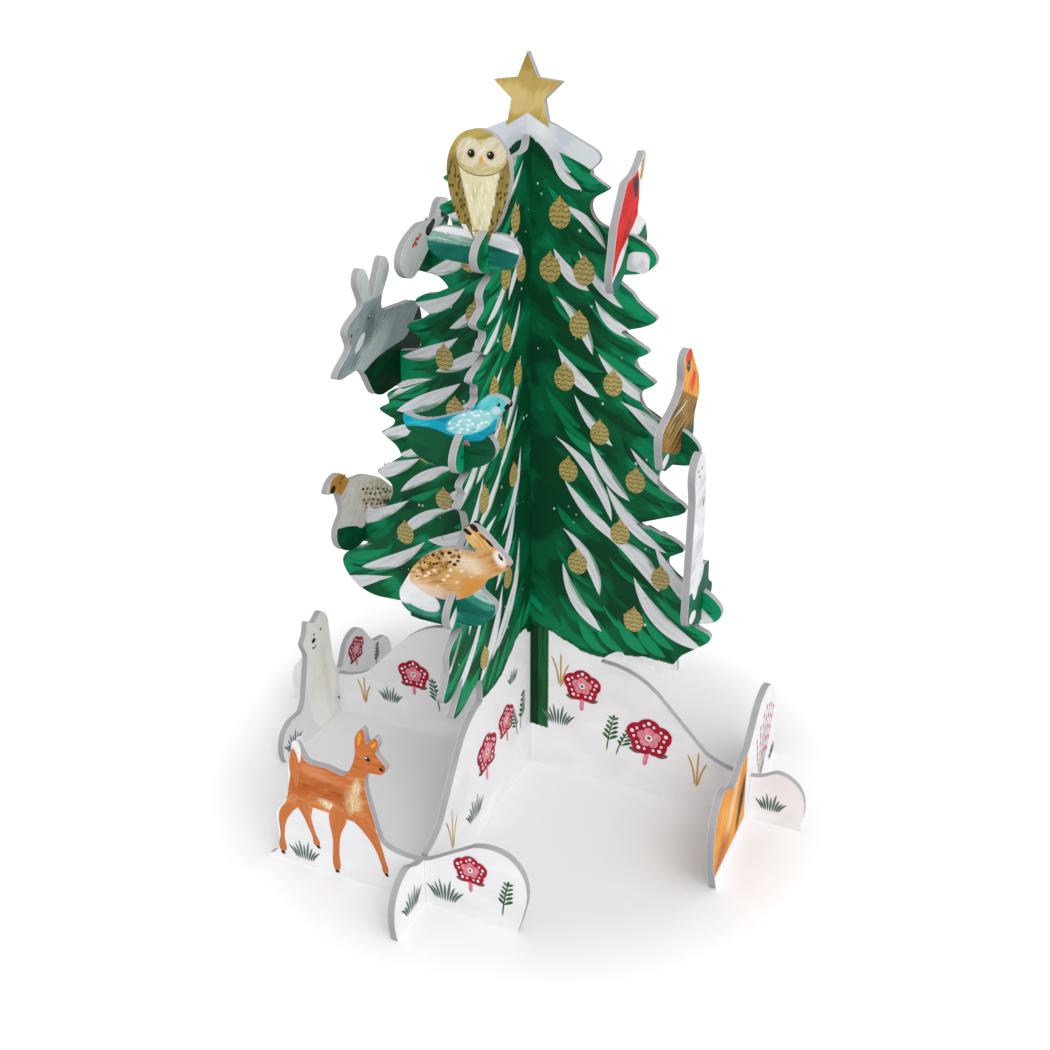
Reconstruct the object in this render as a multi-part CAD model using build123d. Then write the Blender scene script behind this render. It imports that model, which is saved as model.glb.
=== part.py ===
from build123d import *
import math
import os

# A slot-together standing fir tree, press-out pieces of thick printed card.
# Two tree boards cross at right angles. Each is one sheet: foliage above, snowy hill and feet below.
# Small cut-out pieces drop into notches in the boughs and over the four feet.
# Frame: origin on the floor under the crossing, X along the starred board, Z up, millimetres.

# Card and joints
card = 3.0              # thickness of every piece
slot_play = 0.2         # width of a slot over the card that it takes
centre_seat = 136.0     # height where the two long centre slots meet
joint_depth = 7.0       # depth of a bough's notch above the seat of its piece
piece_under = 6.0       # card of a bough piece below its seat
foot_seat = 10.0        # height where a base piece and a foot meet
cut_over = 6.0          # a slot's cutter runs this far past the card's edge

# Curved edges are cut as short straight runs
run_turn = 8.0          # degrees that an edge turns from one run to the next
run_step = 0.3          # distance at which the turn is looked at

# Starred board and crossing board
crown_height = 276.0    # snowy shoulders under the star
crown_half = 10.0       # half width of the starred board at the crown
star_radius = 13.9
star_waist = 6.6        # radius of the star's inner corners
star_sunk = 1.1         # the star's two feet reach this far into the crown
cross_apex = crown_height - 4.0   # tip of the crossing board
cross_apex_half = 3.0
foot_reach = 125.0      # half length of each board on the floor
foot_crest = 25.5       # top of the rounded foot end
valley = 21.0           # height of a foot's top edge where a base piece crosses it
foot_end = 25.0         # length of a foot outside its base piece
base_offset = foot_reach - foot_end   # base pieces stand this far from the axis
hill_height = 60.0      # where the hill comes out from under the foliage
hill_start = 34.0
cross_hill_start = 49.0

# Boughs that carry a piece: distance of the notch from the axis, height of its seat as a share of the
# way from the hill up to the crown, card outside the notch
bough_under = 8.5       # depth of a bough below its seat
red_bird_at = (38.0, 0.801, 12.5)
gold_bird_at = (62.0, 0.472, 9.0)
stoat_at = (74.5, 0.167, 9.5)
white_bird_at = (42.5, 0.769, 8.5)
grey_hare_at = (58.0, 0.546, 15.0)
partridge_at = (79.0, 0.199, 13.5)
owl_at = (37.0, 0.824, 10.5)
blue_bird_at = (59.0, 0.514, 8.0)
brown_hare_at = (68.0, 0.241, 7.5)
back_upper_at = (37.0, 0.750, 9.5)
back_middle_at = (57.0, 0.477, 9.5)
back_lower_at = (73.0, 0.199, 10.0)
upper_bough_half = 17.0   # half lengths of the plain snowy pieces behind
middle_bough_half = 21.0
lower_bough_half = 23.0

# Twigs on the cut edge, zone by zone from the crown down to the lowest carrying bough.
# Each: share of the way down the zone, notch above it and tip as distances from the axis, and half its
# thickness as a share of the zone
right_twigs = (
    ((0.50, 27.5, 31.5, 0.175),),
    ((0.25, 42.0, 51.5, 0.094), (0.49, 38.0, 49.0, 0.076), (0.70, 44.0, 52.0, 0.079)),
    ((0.33, 55.5, 67.0, 0.099), (0.68, 47.0, 67.0, 0.099)),
)
left_twigs = (
    ((0.42, 28.0, 34.5, 0.119), (0.72, 28.5, 36.5, 0.094)),
    ((0.34, 33.5, 48.5, 0.123), (0.67, 42.0, 52.5, 0.117)),
    ((0.17, 63.5, 67.5, 0.061), (0.35, 60.5, 67.0, 0.067), (0.66, 58.5, 70.0, 0.087)),
)
front_twigs = (
    ((0.30, 13.0, 20.5, 0.162), (0.70, 17.5, 28.0, 0.162)),
    ((0.28, 43.5, 49.0, 0.097), (0.48, 41.5, 46.0, 0.066), (0.67, 39.5, 53.0, 0.078),
     (0.86, 49.0, 52.5, 0.058)),
    ((0.24, 62.5, 65.5, 0.092), (0.62, 58.0, 63.5, 0.106)),
)
back_twigs = (
    ((0.20, 11.0, 19.0, 0.099), (0.47, 15.5, 26.0, 0.105), (0.73, 20.5, 30.5, 0.099)),
    ((0.25, 37.0, 46.0, 0.106), (0.50, 39.0, 50.5, 0.106), (0.76, 43.5, 52.0, 0.097)),
    ((0.26, 55.5, 64.5, 0.108), (0.51, 52.5, 67.0, 0.103), (0.75, 57.0, 66.5, 0.094)),
)
# Lowest branches: distance from the axis, share of the way down to the hill
right_skirt = ((80.0, 0.16), (71.0, 0.50), (65.5, 0.78), (59.5, 1.05), (57.0, 0.80), (50.0, 0.78),
               (46.5, 0.97), (44.0, 0.76), (37.5, 0.84))
left_skirt = ((85.0, 0.13), (91.0, 0.32), (88.0, 0.54), (76.0, 0.75), (60.0, 0.74), (53.5, 0.78),
              (57.0, 0.90), (46.0, 0.97))
front_skirt = ((76.0, 0.16), (76.5, 0.34), (81.5, 0.56), (77.0, 0.60), (66.5, 0.50), (69.0, 0.66),
               (74.0, 0.83), (68.0, 0.84), (53.5, 0.72))
back_skirt = ((72.0, 0.18), (79.0, 0.52), (74.0, 0.58), (62.0, 0.52), (63.0, 0.74), (60.0, 0.92),
              (54.0, 0.86), (46.0, 0.70), (38.0, 0.80))


def runs(curve):
    """Corners of the short straight runs of a curve, one wherever it has turned enough."""
    steps = round(curve.length / run_step)
    corners, heading = [curve @ 0], curve % 0
    for step in range(1, steps):
        share = step / steps
        if heading.get_angle(curve % share) >= run_turn:
            corners.append(curve @ share)
            heading = curve % share
    return corners + [curve @ 1]


def twig(notch, tip, height, half):
    """Notch above a twig, then three points round its tip, which droops a little."""
    return [(notch, height + 1.5 * half), (tip - 1.3 * half, height + 0.85 * half),
            (tip, height - 0.1 * half), (tip - 1.1 * half, height - 0.85 * half)]


def seat_height(share):
    """Height of the seat of a bough that stands at this share of the way from the hill to the crown."""
    return hill_height + share * (crown_height - hill_height)


def bough(reach, seat, lip):
    """Edge of a bough that carries a piece, from its top round its tip to its underside."""
    top, low = seat + joint_depth, seat - bough_under
    inner = card + slot_play
    return [(reach - 3.5 * inner, top + 4), (reach, top + 0.3), (reach + 0.7 * lip, top - 3.5),
            (reach + lip, seat - 1), (reach + 0.6 * lip, low + 1.8), (reach - 1.3 * inner, low)]


def foliage_edge(crown, boughs, twigs, skirt):
    """Points of the cut edge from the crown down to where the hill comes out."""
    points = list(crown)
    upper = crown[-1][1]
    for (reach, seat_share, lip), zone in zip(boughs, twigs):
        seat = seat_height(seat_share)
        room = upper - seat - joint_depth
        for share, notch, tip, half in zone:
            points += twig(notch, tip, upper - room * share, room * half)
        points += bough(reach, seat, lip)
        upper = seat - bough_under
    for distance, share in skirt:
        points.append((distance, upper + (hill_height - upper) * share))
    return points


def hill_edge(start):
    """Edge from the foliage down the hill, over the valley and round the foot end to the floor."""
    run = base_offset - start
    slope = Bezier((start, hill_height), (start + 0.55 * run, hill_height - 1),
                   (base_offset - 0.5 * run, valley), (base_offset, valley))
    end = foot_reach - base_offset
    foot = Spline((base_offset, valley), (base_offset + 0.5 * end, foot_crest),
                  (foot_reach - 0.08 * end, 0.75 * foot_crest), (foot_reach, 0.35 * foot_crest),
                  (foot_reach - 0.06 * end, 0), tangents=((1, 0), (-0.2, -1)))
    return runs(slope) + runs(foot)[1:]


def half_outline(peak, crown, boughs, twigs, skirt, hill_from):
    """Corners of one half of a tree board, from its peak on the axis out and down to the floor."""
    points = foliage_edge(crown, boughs, twigs, skirt)
    leaves = runs(Spline(*points, (hill_from, hill_height)))
    return [(0, peak)] + [(corner.X, corner.Y) for corner in leaves + hill_edge(hill_from)[1:]]


def tree_board(peak, crown, left, right):
    """Tree board as a face, from the data of its two halves, with the notches for their pieces."""
    left_corners = [(-x, y) for x, y in half_outline(peak, crown, *left)]
    corners = half_outline(peak, crown, *right) + left_corners[:0:-1]
    face = make_face(Polyline(*corners, close=True))
    for side, boughs in ((-1, left[0]), (1, right[0])):
        for reach, share, lip in boughs:
            seat = seat_height(share)
            face -= slot(side * reach, seat, seat + joint_depth + 0.5 * cut_over)
        face -= slot(side * base_offset, foot_seat, foot_crest + cut_over)
    return face


def slot(at, low, high):
    """Cutter for a slot of the card's width."""
    return Pos(at, (low + high) / 2) * Rectangle(card + slot_play, high - low)


def star():
    """Five-pointed star whose two feet stand on the crown."""
    points = []
    for corner in range(10):
        radius = star_radius if corner % 2 == 0 else star_waist
        point = Vector(0, radius).rotate(Axis.Z, 36 * corner)
        points.append((point.X, star_centre + point.Y))
    return make_face(Polyline(*points, close=True))


def rounded(*points):
    """Closed cut-out outline, one smooth curve through its points."""
    return make_face(Polyline(*runs(Spline(*points, periodic=True))[:-1], close=True))


def bough_piece(*points):
    """Piece for a bough: its outline from the seat, with the slot that drops over the bough."""
    return rounded(*points) - slot(0, -piece_under - cut_over, 0)


def across(reach):
    """Plane of a piece that stands across the crossing board, parallel to the starred board."""
    return Plane(origin=(0, reach, 0), x_dir=(1, 0, 0), z_dir=(0, -1, 0))


def along(reach):
    """Plane of a piece that stands across the starred board, parallel to the crossing board."""
    return Plane(origin=(reach, 0, 0), x_dir=(0, 1, 0), z_dir=(1, 0, 0))


def cut(face, plane, height=0.0):
    """One card piece: the face set up in its plane at its height and given the card's thickness."""
    return extrude(plane * Pos(0, height) * face, amount=card / 2, both=True)


def on_bough(face, plane, side, place):
    """A bough piece in its notch: side is -1 or 1, and place says where its bough has the notch."""
    reach, share, lip = place
    return cut(face, plane(side * reach), seat_height(share))


# Outlines of the bough pieces: distance from the slot, height from the seat

def owl():
    branch = rounded((-22, 2), (-18, 6.5), (-9, 6.5), (2, 6), (9, 5), (13, 1), (11, -5), (1, -piece_under),
                     (-12, -5), (-19, -3.5))
    body = rounded((-2, 40), (-10.5, 36), (-13.8, 27), (-12.5, 17), (-8, 7), (-2, 2), (4, 7), (8.5, 17),
                   (10, 27), (6.5, 36))
    return branch + body - slot(0, -piece_under - cut_over, 0)


def blue_bird():
    branch = rounded((-21, 3), (-16, 8), (0, 9), (11, 8), (14, 3), (10, -3), (0, -piece_under), (-12, -6),
                     (-19, -2.5))
    body = rounded((-21.5, 11.5), (-12, 10.5), (-2, 14), (5, 17), (9.5, 21.5), (14, 22.8), (18.5, 20.5),
                   (16, 17), (14, 11), (7, 6), (-3, 6), (-12, 8), (-21.5, 6.5))
    return branch + body - slot(0, -piece_under - cut_over, 0)


def brown_hare():
    return bough_piece(
        (-21.5, 5), (-18.5, 10.5), (-14, 17), (-6, 23), (3, 25.5), (10, 26), (6, 31), (7.5, 35.5),
        (12.5, 34), (18.5, 28), (23, 22.5), (20, 19.5), (15, 16), (12, 10.5), (17, 6), (15, -1),
        (8, -5), (0, -piece_under), (-12, -piece_under), (-21, -2.5))


def white_bird():
    return bough_piece(
        (16, 14), (12.5, 19), (7, 18), (3.5, 13), (-5, 12.5), (-14, 10.5), (-22, 6), (-25, 0),
        (-21.5, -5), (-16, -6.5), (-9, -4), (0, -piece_under), (9, -5), (15, 0), (13, 7))


def grey_hare():
    return bough_piece(
        (-49, 10), (-44, 14), (-38.5, 19), (-40.5, 24), (-34, 29), (-28, 32.5), (-31, 41), (-28, 46),
        (-23.5, 43), (-21.5, 33.5), (-16, 42), (-10.5, 47.5), (-7, 44), (-12, 35), (-14, 28), (-5, 26.5),
        (6, 26), (15, 23), (18, 14), (15, 3), (9, -5), (0, -piece_under), (-12, -7), (-23, -4),
        (-28, 4), (-34, 8.5), (-42, 8))


def partridge():
    return bough_piece(
        (-30, 27), (-25.5, 31), (-18.5, 31), (-13, 26.5), (-4, 24.5), (6, 21), (15, 15.5), (23, 8),
        (31, -1), (26, -4), (16, 0), (9, -4), (0, -piece_under), (-10, -7), (-20, -4), (-25, 2),
        (-24, 8.5), (-19.5, 13), (-20.5, 20), (-24, 24.5))


def red_bird():
    return bough_piece(
        (13.5, 33.5), (8, 29), (2.5, 26.5), (-4, 25), (-8, 19), (-13, 12), (-15, 3), (-17, -6),
        (-14, -12), (-8, -9.5), (0, -piece_under), (9, -5), (19, -1), (21, 5), (14, 10), (8.5, 13),
        (10, 20), (12, 25), (17, 30))


def gold_bird():
    return bough_piece(
        (1, 37), (-3, 33), (-2.5, 26), (-8, 20.5), (-18, 17), (-26, 12.5), (-25, 4), (-22, -2),
        (-15, -3), (-8, -4), (0, -piece_under), (9, -4), (15, 1), (15, 8), (19, 14), (18, 22),
        (12, 29), (7, 35))


def stoat():
    return bough_piece(
        (-13, 69), (-17, 71), (-21.5, 69), (-24, 64), (-22, 56), (-22, 38), (-21, 20), (-22, 8),
        (-20, 1), (-12, -3), (0, -piece_under), (9, -3), (12, 4), (6, 9), (4, 18), (-2, 19),
        (-6, 34), (-8, 54))


def snowy_bough(half):
    return bough_piece((-half, 1), (-0.7 * half, 9), (-0.1 * half, 12), (0.6 * half, 10.5), (half, 4),
                       (0.85 * half, -3), (0.4 * half, -piece_under), (-0.4 * half, -piece_under - 0.5),
                       (-0.8 * half, -4))


# Base pieces: distance from the foot that they cross, height above the floor

def base_piece(edge, left, right):
    """Base piece: its upper edge from the left end to the right end, and the slot over the foot."""
    face = make_face(Polyline(*runs(Spline((-left, 0), *edge, (right, 0))), close=True))
    return face - slot(0, -cut_over, foot_seat)


def deer_hill():
    return base_piece(
        ((-66.5, 3), (-64.5, 11), (-64.5, 23), (-59.5, 30), (-57.5, 42), (-55.5, 52), (-52, 58.5), (-49, 52),
         (-40, 51), (-31.5, 50), (-28.5, 54), (-26, 62), (-24.5, 71), (-21.8, 73.5), (-20.5, 67.5),
         (-16.5, 71), (-15.5, 68), (-17, 64.5), (-13, 58.5), (-15.5, 55), (-20, 54.5), (-22.5, 45),
         (-20, 35), (-16.5, 22.5), (-8, 19.5), (0, valley - 1), (9, 25), (18, 31.5), (28, 35), (38, 32.5),
         (43.5, 23), (43, 11)),
        70.0, 40.0)


def bear_hill():
    return base_piece(
        ((-49, 8), (-46, 15), (-40, 18), (-33, 18), (-28.5, 26), (-25.5, 38), (-25, 45), (-27, 50),
         (-24, 54.5), (-22, 59.5), (-17.5, 57), (-12, 59.5), (-7, 55.5), (-6, 47), (-5, 36), (-2.5, 26),
         (2, 22.5), (6, 29), (12, 34.5), (20, 34.5), (27, 27), (34, 20), (43, 18), (48.5, 10)),
        47.5, 48.0)


def fox_hill():
    return base_piece(
        ((-54.5, 12), (-58, 26), (-57, 38), (-51, 45), (-42, 43), (-33, 37), (-26, 36.5), (-19, 39),
         (-9, 39.5), (-2, 45), (7, 51.5), (18, 53), (29, 48.5), (37, 38), (43, 24), (48, 10)),
        49.0, 48.0)


def back_hill():
    return base_piece(
        ((-58, 12), (-50, 25), (-38, 31), (-24, 27), (-10, 21.5), (0, valley - 1), (10, 22), (20, 26),
         (30, 25), (37, 16)),
        60.0, 40.0)


star_centre = crown_height - star_sunk + star_radius * math.cos(math.radians(36))
star_notch = star_centre - star_waist
shoulders = ((crown_half, crown_height), (2 * crown_half, crown_height - 0.45 * crown_half))
slim_tip = ((cross_apex_half, cross_apex), (2 * cross_apex_half, cross_apex - 1.6 * cross_apex_half))

left_half = ((white_bird_at, grey_hare_at, partridge_at), left_twigs, left_skirt, hill_start)
right_half = ((red_bird_at, gold_bird_at, stoat_at), right_twigs, right_skirt, hill_start)
front_half = ((owl_at, blue_bird_at, brown_hare_at), front_twigs, front_skirt, cross_hill_start)
back_half = ((back_upper_at, back_middle_at, back_lower_at), back_twigs, back_skirt, hill_start)

starred_board = tree_board(star_notch, shoulders, left_half, right_half) + star()
starred_board -= slot(0, -cut_over, centre_seat)
crossing_board = tree_board(cross_apex, slim_tip, front_half, back_half)
crossing_board -= slot(0, centre_seat, cross_apex + cut_over)

parts = {
    "tree_board_with_star": cut(starred_board, across(0)),
    "tree_board_crossing": cut(crossing_board, along(0)),
    "deer_base_piece": cut(deer_hill(), across(-base_offset)),
    "back_base_piece": cut(back_hill(), across(base_offset)),
    "bear_base_piece": cut(bear_hill(), along(-base_offset)),
    "fox_base_piece": cut(fox_hill(), along(base_offset)),
    "owl_piece": on_bough(owl(), across, -1, owl_at),
    "blue_bird_piece": on_bough(blue_bird(), across, -1, blue_bird_at),
    "brown_hare_piece": on_bough(brown_hare(), across, -1, brown_hare_at),
    "white_bird_piece": on_bough(white_bird(), along, -1, white_bird_at),
    "grey_hare_piece": on_bough(grey_hare(), along, -1, grey_hare_at),
    "partridge_piece": on_bough(partridge(), along, -1, partridge_at),
    "red_bird_piece": on_bough(red_bird(), along, 1, red_bird_at),
    "gold_bird_piece": on_bough(gold_bird(), along, 1, gold_bird_at),
    "stoat_piece": on_bough(stoat(), along, 1, stoat_at),
    "upper_snow_bough": on_bough(snowy_bough(upper_bough_half), across, 1, back_upper_at),
    "middle_snow_bough": on_bough(snowy_bough(middle_bough_half), across, 1, back_middle_at),
    "lower_snow_bough": on_bough(snowy_bough(lower_bough_half), across, 1, back_lower_at),
}

os.makedirs("parts", exist_ok=True)
for name, shape in parts.items():
    export_step(shape, f"parts/{name}.step")
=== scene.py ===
import math
import random

import bpy
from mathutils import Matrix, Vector
from mathutils.bvhtree import BVHTree


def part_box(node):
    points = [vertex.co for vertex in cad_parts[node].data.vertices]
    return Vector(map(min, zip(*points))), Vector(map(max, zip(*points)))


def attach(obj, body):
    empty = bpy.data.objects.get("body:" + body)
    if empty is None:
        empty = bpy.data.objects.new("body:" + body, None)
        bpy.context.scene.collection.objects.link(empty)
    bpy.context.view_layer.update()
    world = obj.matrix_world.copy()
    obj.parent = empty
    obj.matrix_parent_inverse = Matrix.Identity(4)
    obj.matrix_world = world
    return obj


# Printed finish of the slot-together card fir tree.
# Every card keeps its cut shape. Its print is a material laid down in fields, as a printer lays inks,
# and on top of it lie thin marks of opaque paint: snow strokes, baubles, blossoms, grass, eyes.
# Place on a card: u along the card from its slot, h above its seat or the floor, both in millimetres.

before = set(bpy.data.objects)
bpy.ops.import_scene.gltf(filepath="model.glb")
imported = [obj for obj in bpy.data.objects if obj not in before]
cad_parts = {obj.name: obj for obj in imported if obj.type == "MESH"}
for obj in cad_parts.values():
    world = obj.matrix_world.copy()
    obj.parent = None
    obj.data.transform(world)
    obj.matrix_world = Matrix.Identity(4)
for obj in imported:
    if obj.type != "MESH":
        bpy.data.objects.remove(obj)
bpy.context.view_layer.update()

MM = 0.001
IN_MM = (1 / MM,) * 3  # turns a place in metres into one in millimetres
CARD = 3.0             # thickness of the card
INK_LIFT = 0.06        # each layer of opaque paint stands this far over the one below
INK_HAIR = 0.0009      # and each mark this far over the mark before it
PAINT_GLOSS = 0.14     # poster paint and card shine very little
CROWN = 276.0          # snowy shoulders of the tree
HILL = 60.0            # where the snowy hill comes out from under the foliage
SNOW_LINE = HILL + 9   # no loose stroke comes lower than this

# Where the foliage ends over the snow, as (u, h) points
STARRED_HILL = ((-125, 62), (-60, 62), (-50, 60.6), (-42, 60.4), (-35, 61.2), (-29, 62.6), (-22, 64.5),
                (-14.5, 68), (-8, 70), (8, 70), (14.5, 68), (22, 65), (28, 62.9), (34, 62.4), (40, 63.8),
                (45, 65.8), (50, 66.6), (58, 67.0), (64, 66.8), (69, 66), (125, 66))
CROSSING_HILL = ((-125, 63), (-57, 63), (-50, 61.8), (-42, 61), (-33, 62), (-26, 65.5), (-19, 69.5),
                 (-12, 72), (-6, 71), (0, 67), (6, 71), (12, 72), (19, 69.5), (27, 65), (34, 62.4),
                 (42, 62.6), (60, 62), (125, 62))

# Photo and camera
PHOTO_PIXELS = 1050
FOCAL_PIXELS = 1199.7
SENSOR = 36.0
CAMERA_PLACE = (0.1804, -0.4130, 0.3268)
CAMERA_DROP = 24.97    # degrees down from level
CAMERA_TURN = 23.78    # degrees round from the front

# Cards: height of the seat over the floor
SEATS = {
    "tree_board_with_star": 0.0, "tree_board_crossing": 0.0,
    "deer_base_piece": 0.0, "back_base_piece": 0.0, "bear_base_piece": 0.0, "fox_base_piece": 0.0,
    "owl_piece": 238.0, "blue_bird_piece": 171.0, "brown_hare_piece": 112.1,
    "white_bird_piece": 226.1, "grey_hare_piece": 177.9, "partridge_piece": 103.0,
    "red_bird_piece": 233.0, "gold_bird_piece": 161.95, "stoat_piece": 96.1,
    "upper_snow_bough": 222.0, "middle_snow_bough": 163.0, "lower_snow_bough": 103.0,
}


def ink(red, green, blue):
    """Colour as a printer reads it, 0 to 255, made linear for the shader."""
    shares = [value / 255 for value in (red, green, blue)]
    return tuple(c / 12.92 if c <= 0.04045 else ((c + 0.055) / 1.055) ** 2.4 for c in shares) + (1.0,)


DEEP_FIR, FIR, BRIGHT_FIR = ink(0, 66, 37), ink(0, 93, 55), ink(6, 146, 96)
TEAL_FIR = ink(4, 84, 70)
SNOW_SHADE, SNOW, SNOW_LIGHT = ink(205, 206, 212), ink(228, 229, 233), ink(244, 245, 247)
PAPER_SHADE, PAPER, PAPER_LIGHT = ink(234, 234, 237), ink(240, 240, 242), ink(246, 246, 248)


# Nodes

class Wiring:
    """Adds nodes to one tree. A socket given as a value is linked, a number or colour is typed in."""

    def __init__(self, tree):
        self.tree = tree

    def node(self, kind, **settings):
        made = self.tree.nodes.new(kind if kind.startswith("Node") else "ShaderNode" + kind)
        for key, value in settings.items():
            setattr(made, key, value)
        return made

    def feed(self, socket, value):
        if isinstance(value, bpy.types.NodeSocket):
            self.tree.links.new(value, socket)
        else:
            socket.default_value = value

    def fill(self, made, values):
        for socket, value in zip(made.inputs, values):
            self.feed(socket, value)
        return made

    def math(self, operation, *values):
        return self.fill(self.node("Math", operation=operation), values).outputs[0]

    def times(self, first, second):
        return self.math("MULTIPLY", first, second)

    def vector(self, operation, *values):
        return self.fill(self.node("VectorMath", operation=operation), values).outputs["Vector"]

    def length(self, value):
        return self.fill(self.node("VectorMath", operation="LENGTH"), (value,)).outputs["Value"]

    def parts(self, value):
        return self.fill(self.node("SeparateXYZ"), (value,)).outputs

    def whole(self, *values):
        return self.fill(self.node("CombineXYZ"), values).outputs[0]

    def rise(self, value, low, high):
        """0 up to 1 as the value goes from low to high, with soft ends."""
        made = self.node("MapRange", interpolation_type="SMOOTHSTEP")
        return self.fill(made, (value, low, high)).outputs[0]

    def between(self, first, second, share):
        """A number between two, at this share of the way."""
        made = self.node("Mix", data_type="FLOAT")
        for index, value in ((0, share), (2, first), (3, second)):
            self.feed(made.inputs[index], value)
        return made.outputs[0]

    def over(self, below, above, mask):
        """Colour with another laid over it where the mask says."""
        made = self.node("Mix", data_type="RGBA")
        for index, value in ((0, mask), (6, below), (7, above)):
            self.feed(made.inputs[index], value)
        return made.outputs[2]

    def noise(self, place, scale, detail=2.0, roughness=0.5):
        made = self.node("TexNoise")
        for label, value in (("Vector", place), ("Scale", scale), ("Detail", detail),
                             ("Roughness", roughness)):
            self.feed(made.inputs[label], value)
        return made.outputs["Fac"]

    def wobble(self, place, scale):
        """How far a hand strays, from about -0.5 to 0.5."""
        return self.math("SUBTRACT", self.noise(place, scale, 3.0, 0.6), 0.5)

    def along(self, place, degrees):
        """Place as it is seen along a direction this many degrees round."""
        made = self.node("VectorRotate", rotation_type="Z_AXIS")
        self.feed(made.inputs["Vector"], place)
        self.feed(made.inputs["Angle"], self.math("RADIANS", self.times(degrees, -1.0)))
        return made.outputs[0]

    def put(self, group, **values):
        made = self.node("Group", node_tree=group)
        for label, value in values.items():
            self.feed(made.inputs[label], value)
        return made.outputs


def new_group(name, takes, **gives):
    """Node group: takes holds its inputs with their first values, gives its outputs with their kinds."""
    tree = bpy.data.node_groups.new(name, "ShaderNodeTree")
    for label, value in takes.items():
        kind = "Float" if isinstance(value, float) else {3: "Vector", 4: "Color"}[len(value)]
        tree.interface.new_socket(label, in_out="INPUT",
                                  socket_type="NodeSocket" + kind).default_value = value
    for label, kind in gives.items():
        tree.interface.new_socket(label, in_out="OUTPUT", socket_type="NodeSocket" + kind)
    wires = Wiring(tree)
    return wires, wires.node("NodeGroupInput").outputs, wires.node("NodeGroupOutput").inputs


def make_card_place():
    """Where a point is on its card, whether it is on a printed face, and how deep in the ply."""
    wires, given, result = new_group(
        "card_place", dict(Across=1.0, Stand=0.0, Seat=0.0), Place="Vector", Printed="Float", Ply="Float")
    spot = wires.parts(wires.node("TexCoord").outputs["Object"])
    facing = wires.parts(wires.vector("ABSOLUTE", wires.node("NewGeometry").outputs["True Normal"]))
    along = wires.times(wires.between(spot["Y"], spot["X"], given["Across"]), 1000.0)
    height = wires.math("MULTIPLY_ADD", spot["Z"], 1000.0, wires.times(given["Seat"], -1.0))
    through = wires.times(wires.between(spot["X"], spot["Y"], given["Across"]), 1000.0)
    flat = wires.between(facing["X"], facing["Y"], given["Across"])
    wires.feed(result["Place"], wires.whole(along, height))
    wires.feed(result["Printed"], wires.math("GREATER_THAN", flat, 0.5))
    wires.feed(result["Ply"], wires.math("SUBTRACT", through, given["Stand"]))
    return wires.tree


def make_brushed_paint():
    """Watery paint put on with a flat brush: pools of dark and light, drawn out along the stroke."""
    wires, given, result = new_group(
        "brushed_paint", dict(Place=(0, 0, 0), Dark=DEEP_FIR, Mid=FIR, Light=BRIGHT_FIR, Turn=0.0,
                              Length=20.0, Width=2.0, Wash=0.0, Pooled=0.42),
        Colour="Color", Ridge="Float")
    run = wires.along(given["Place"], given["Turn"])
    shrink = wires.whole(wires.math("DIVIDE", 1.0, given["Length"]),
                         wires.math("DIVIDE", 1.0, given["Width"]), 1.0)
    streak = wires.noise(wires.vector("MULTIPLY", run, shrink), 1.0, 5.0, 0.62)
    pool = wires.noise(given["Place"], 0.055, 1.0, 0.5)
    mood = wires.math("ADD", wires.between(streak, pool, given["Pooled"]), given["Wash"])
    shade = wires.over(given["Mid"], given["Dark"], wires.rise(mood, 0.49, 0.40))
    wires.feed(result["Colour"], wires.over(shade, given["Light"], wires.rise(mood, 0.53, 0.63)))
    wires.feed(result["Ridge"], streak)
    return wires.tree


def make_oval_field():
    """1 inside an oval with a hand-painted rim, 0 outside."""
    wires, given, result = new_group(
        "oval_field", dict(Place=(0, 0, 0), Centre=(0, 0, 0), Radii=(1, 1, 1), Turn=0.0, Soft=0.08,
                           Ragged=0.1), Mask="Float")
    away = wires.along(wires.vector("SUBTRACT", given["Place"], given["Centre"]), given["Turn"])
    ring = wires.length(wires.vector("DIVIDE", away, given["Radii"]))
    ring = wires.math("MULTIPLY_ADD", wires.wobble(given["Place"], 0.9), given["Ragged"], ring)
    wires.feed(result["Mask"], wires.rise(ring, wires.math("ADD", given["Soft"], 1.0),
                                          wires.math("SUBTRACT", 1.0, given["Soft"])))
    return wires.tree


def make_line_field():
    """1 on the upper side of a line that runs through a point at an angle, 0 on the other side."""
    wires, given, result = new_group(
        "line_field", dict(Place=(0, 0, 0), Through=(0, 0, 0), Turn=0.0, Soft=0.3, Ragged=1.0),
        Mask="Float")
    away = wires.along(wires.vector("SUBTRACT", given["Place"], given["Through"]), given["Turn"])
    sides = wires.parts(away)
    stretched = wires.whole(wires.times(sides["X"], 0.8), wires.times(sides["Y"], 0.25))
    level = wires.math("MULTIPLY_ADD", wires.wobble(stretched, 1.0), given["Ragged"], sides["Y"])
    wires.feed(result["Mask"], wires.rise(level, wires.times(given["Soft"], -1.0), given["Soft"]))
    return wires.tree


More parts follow.
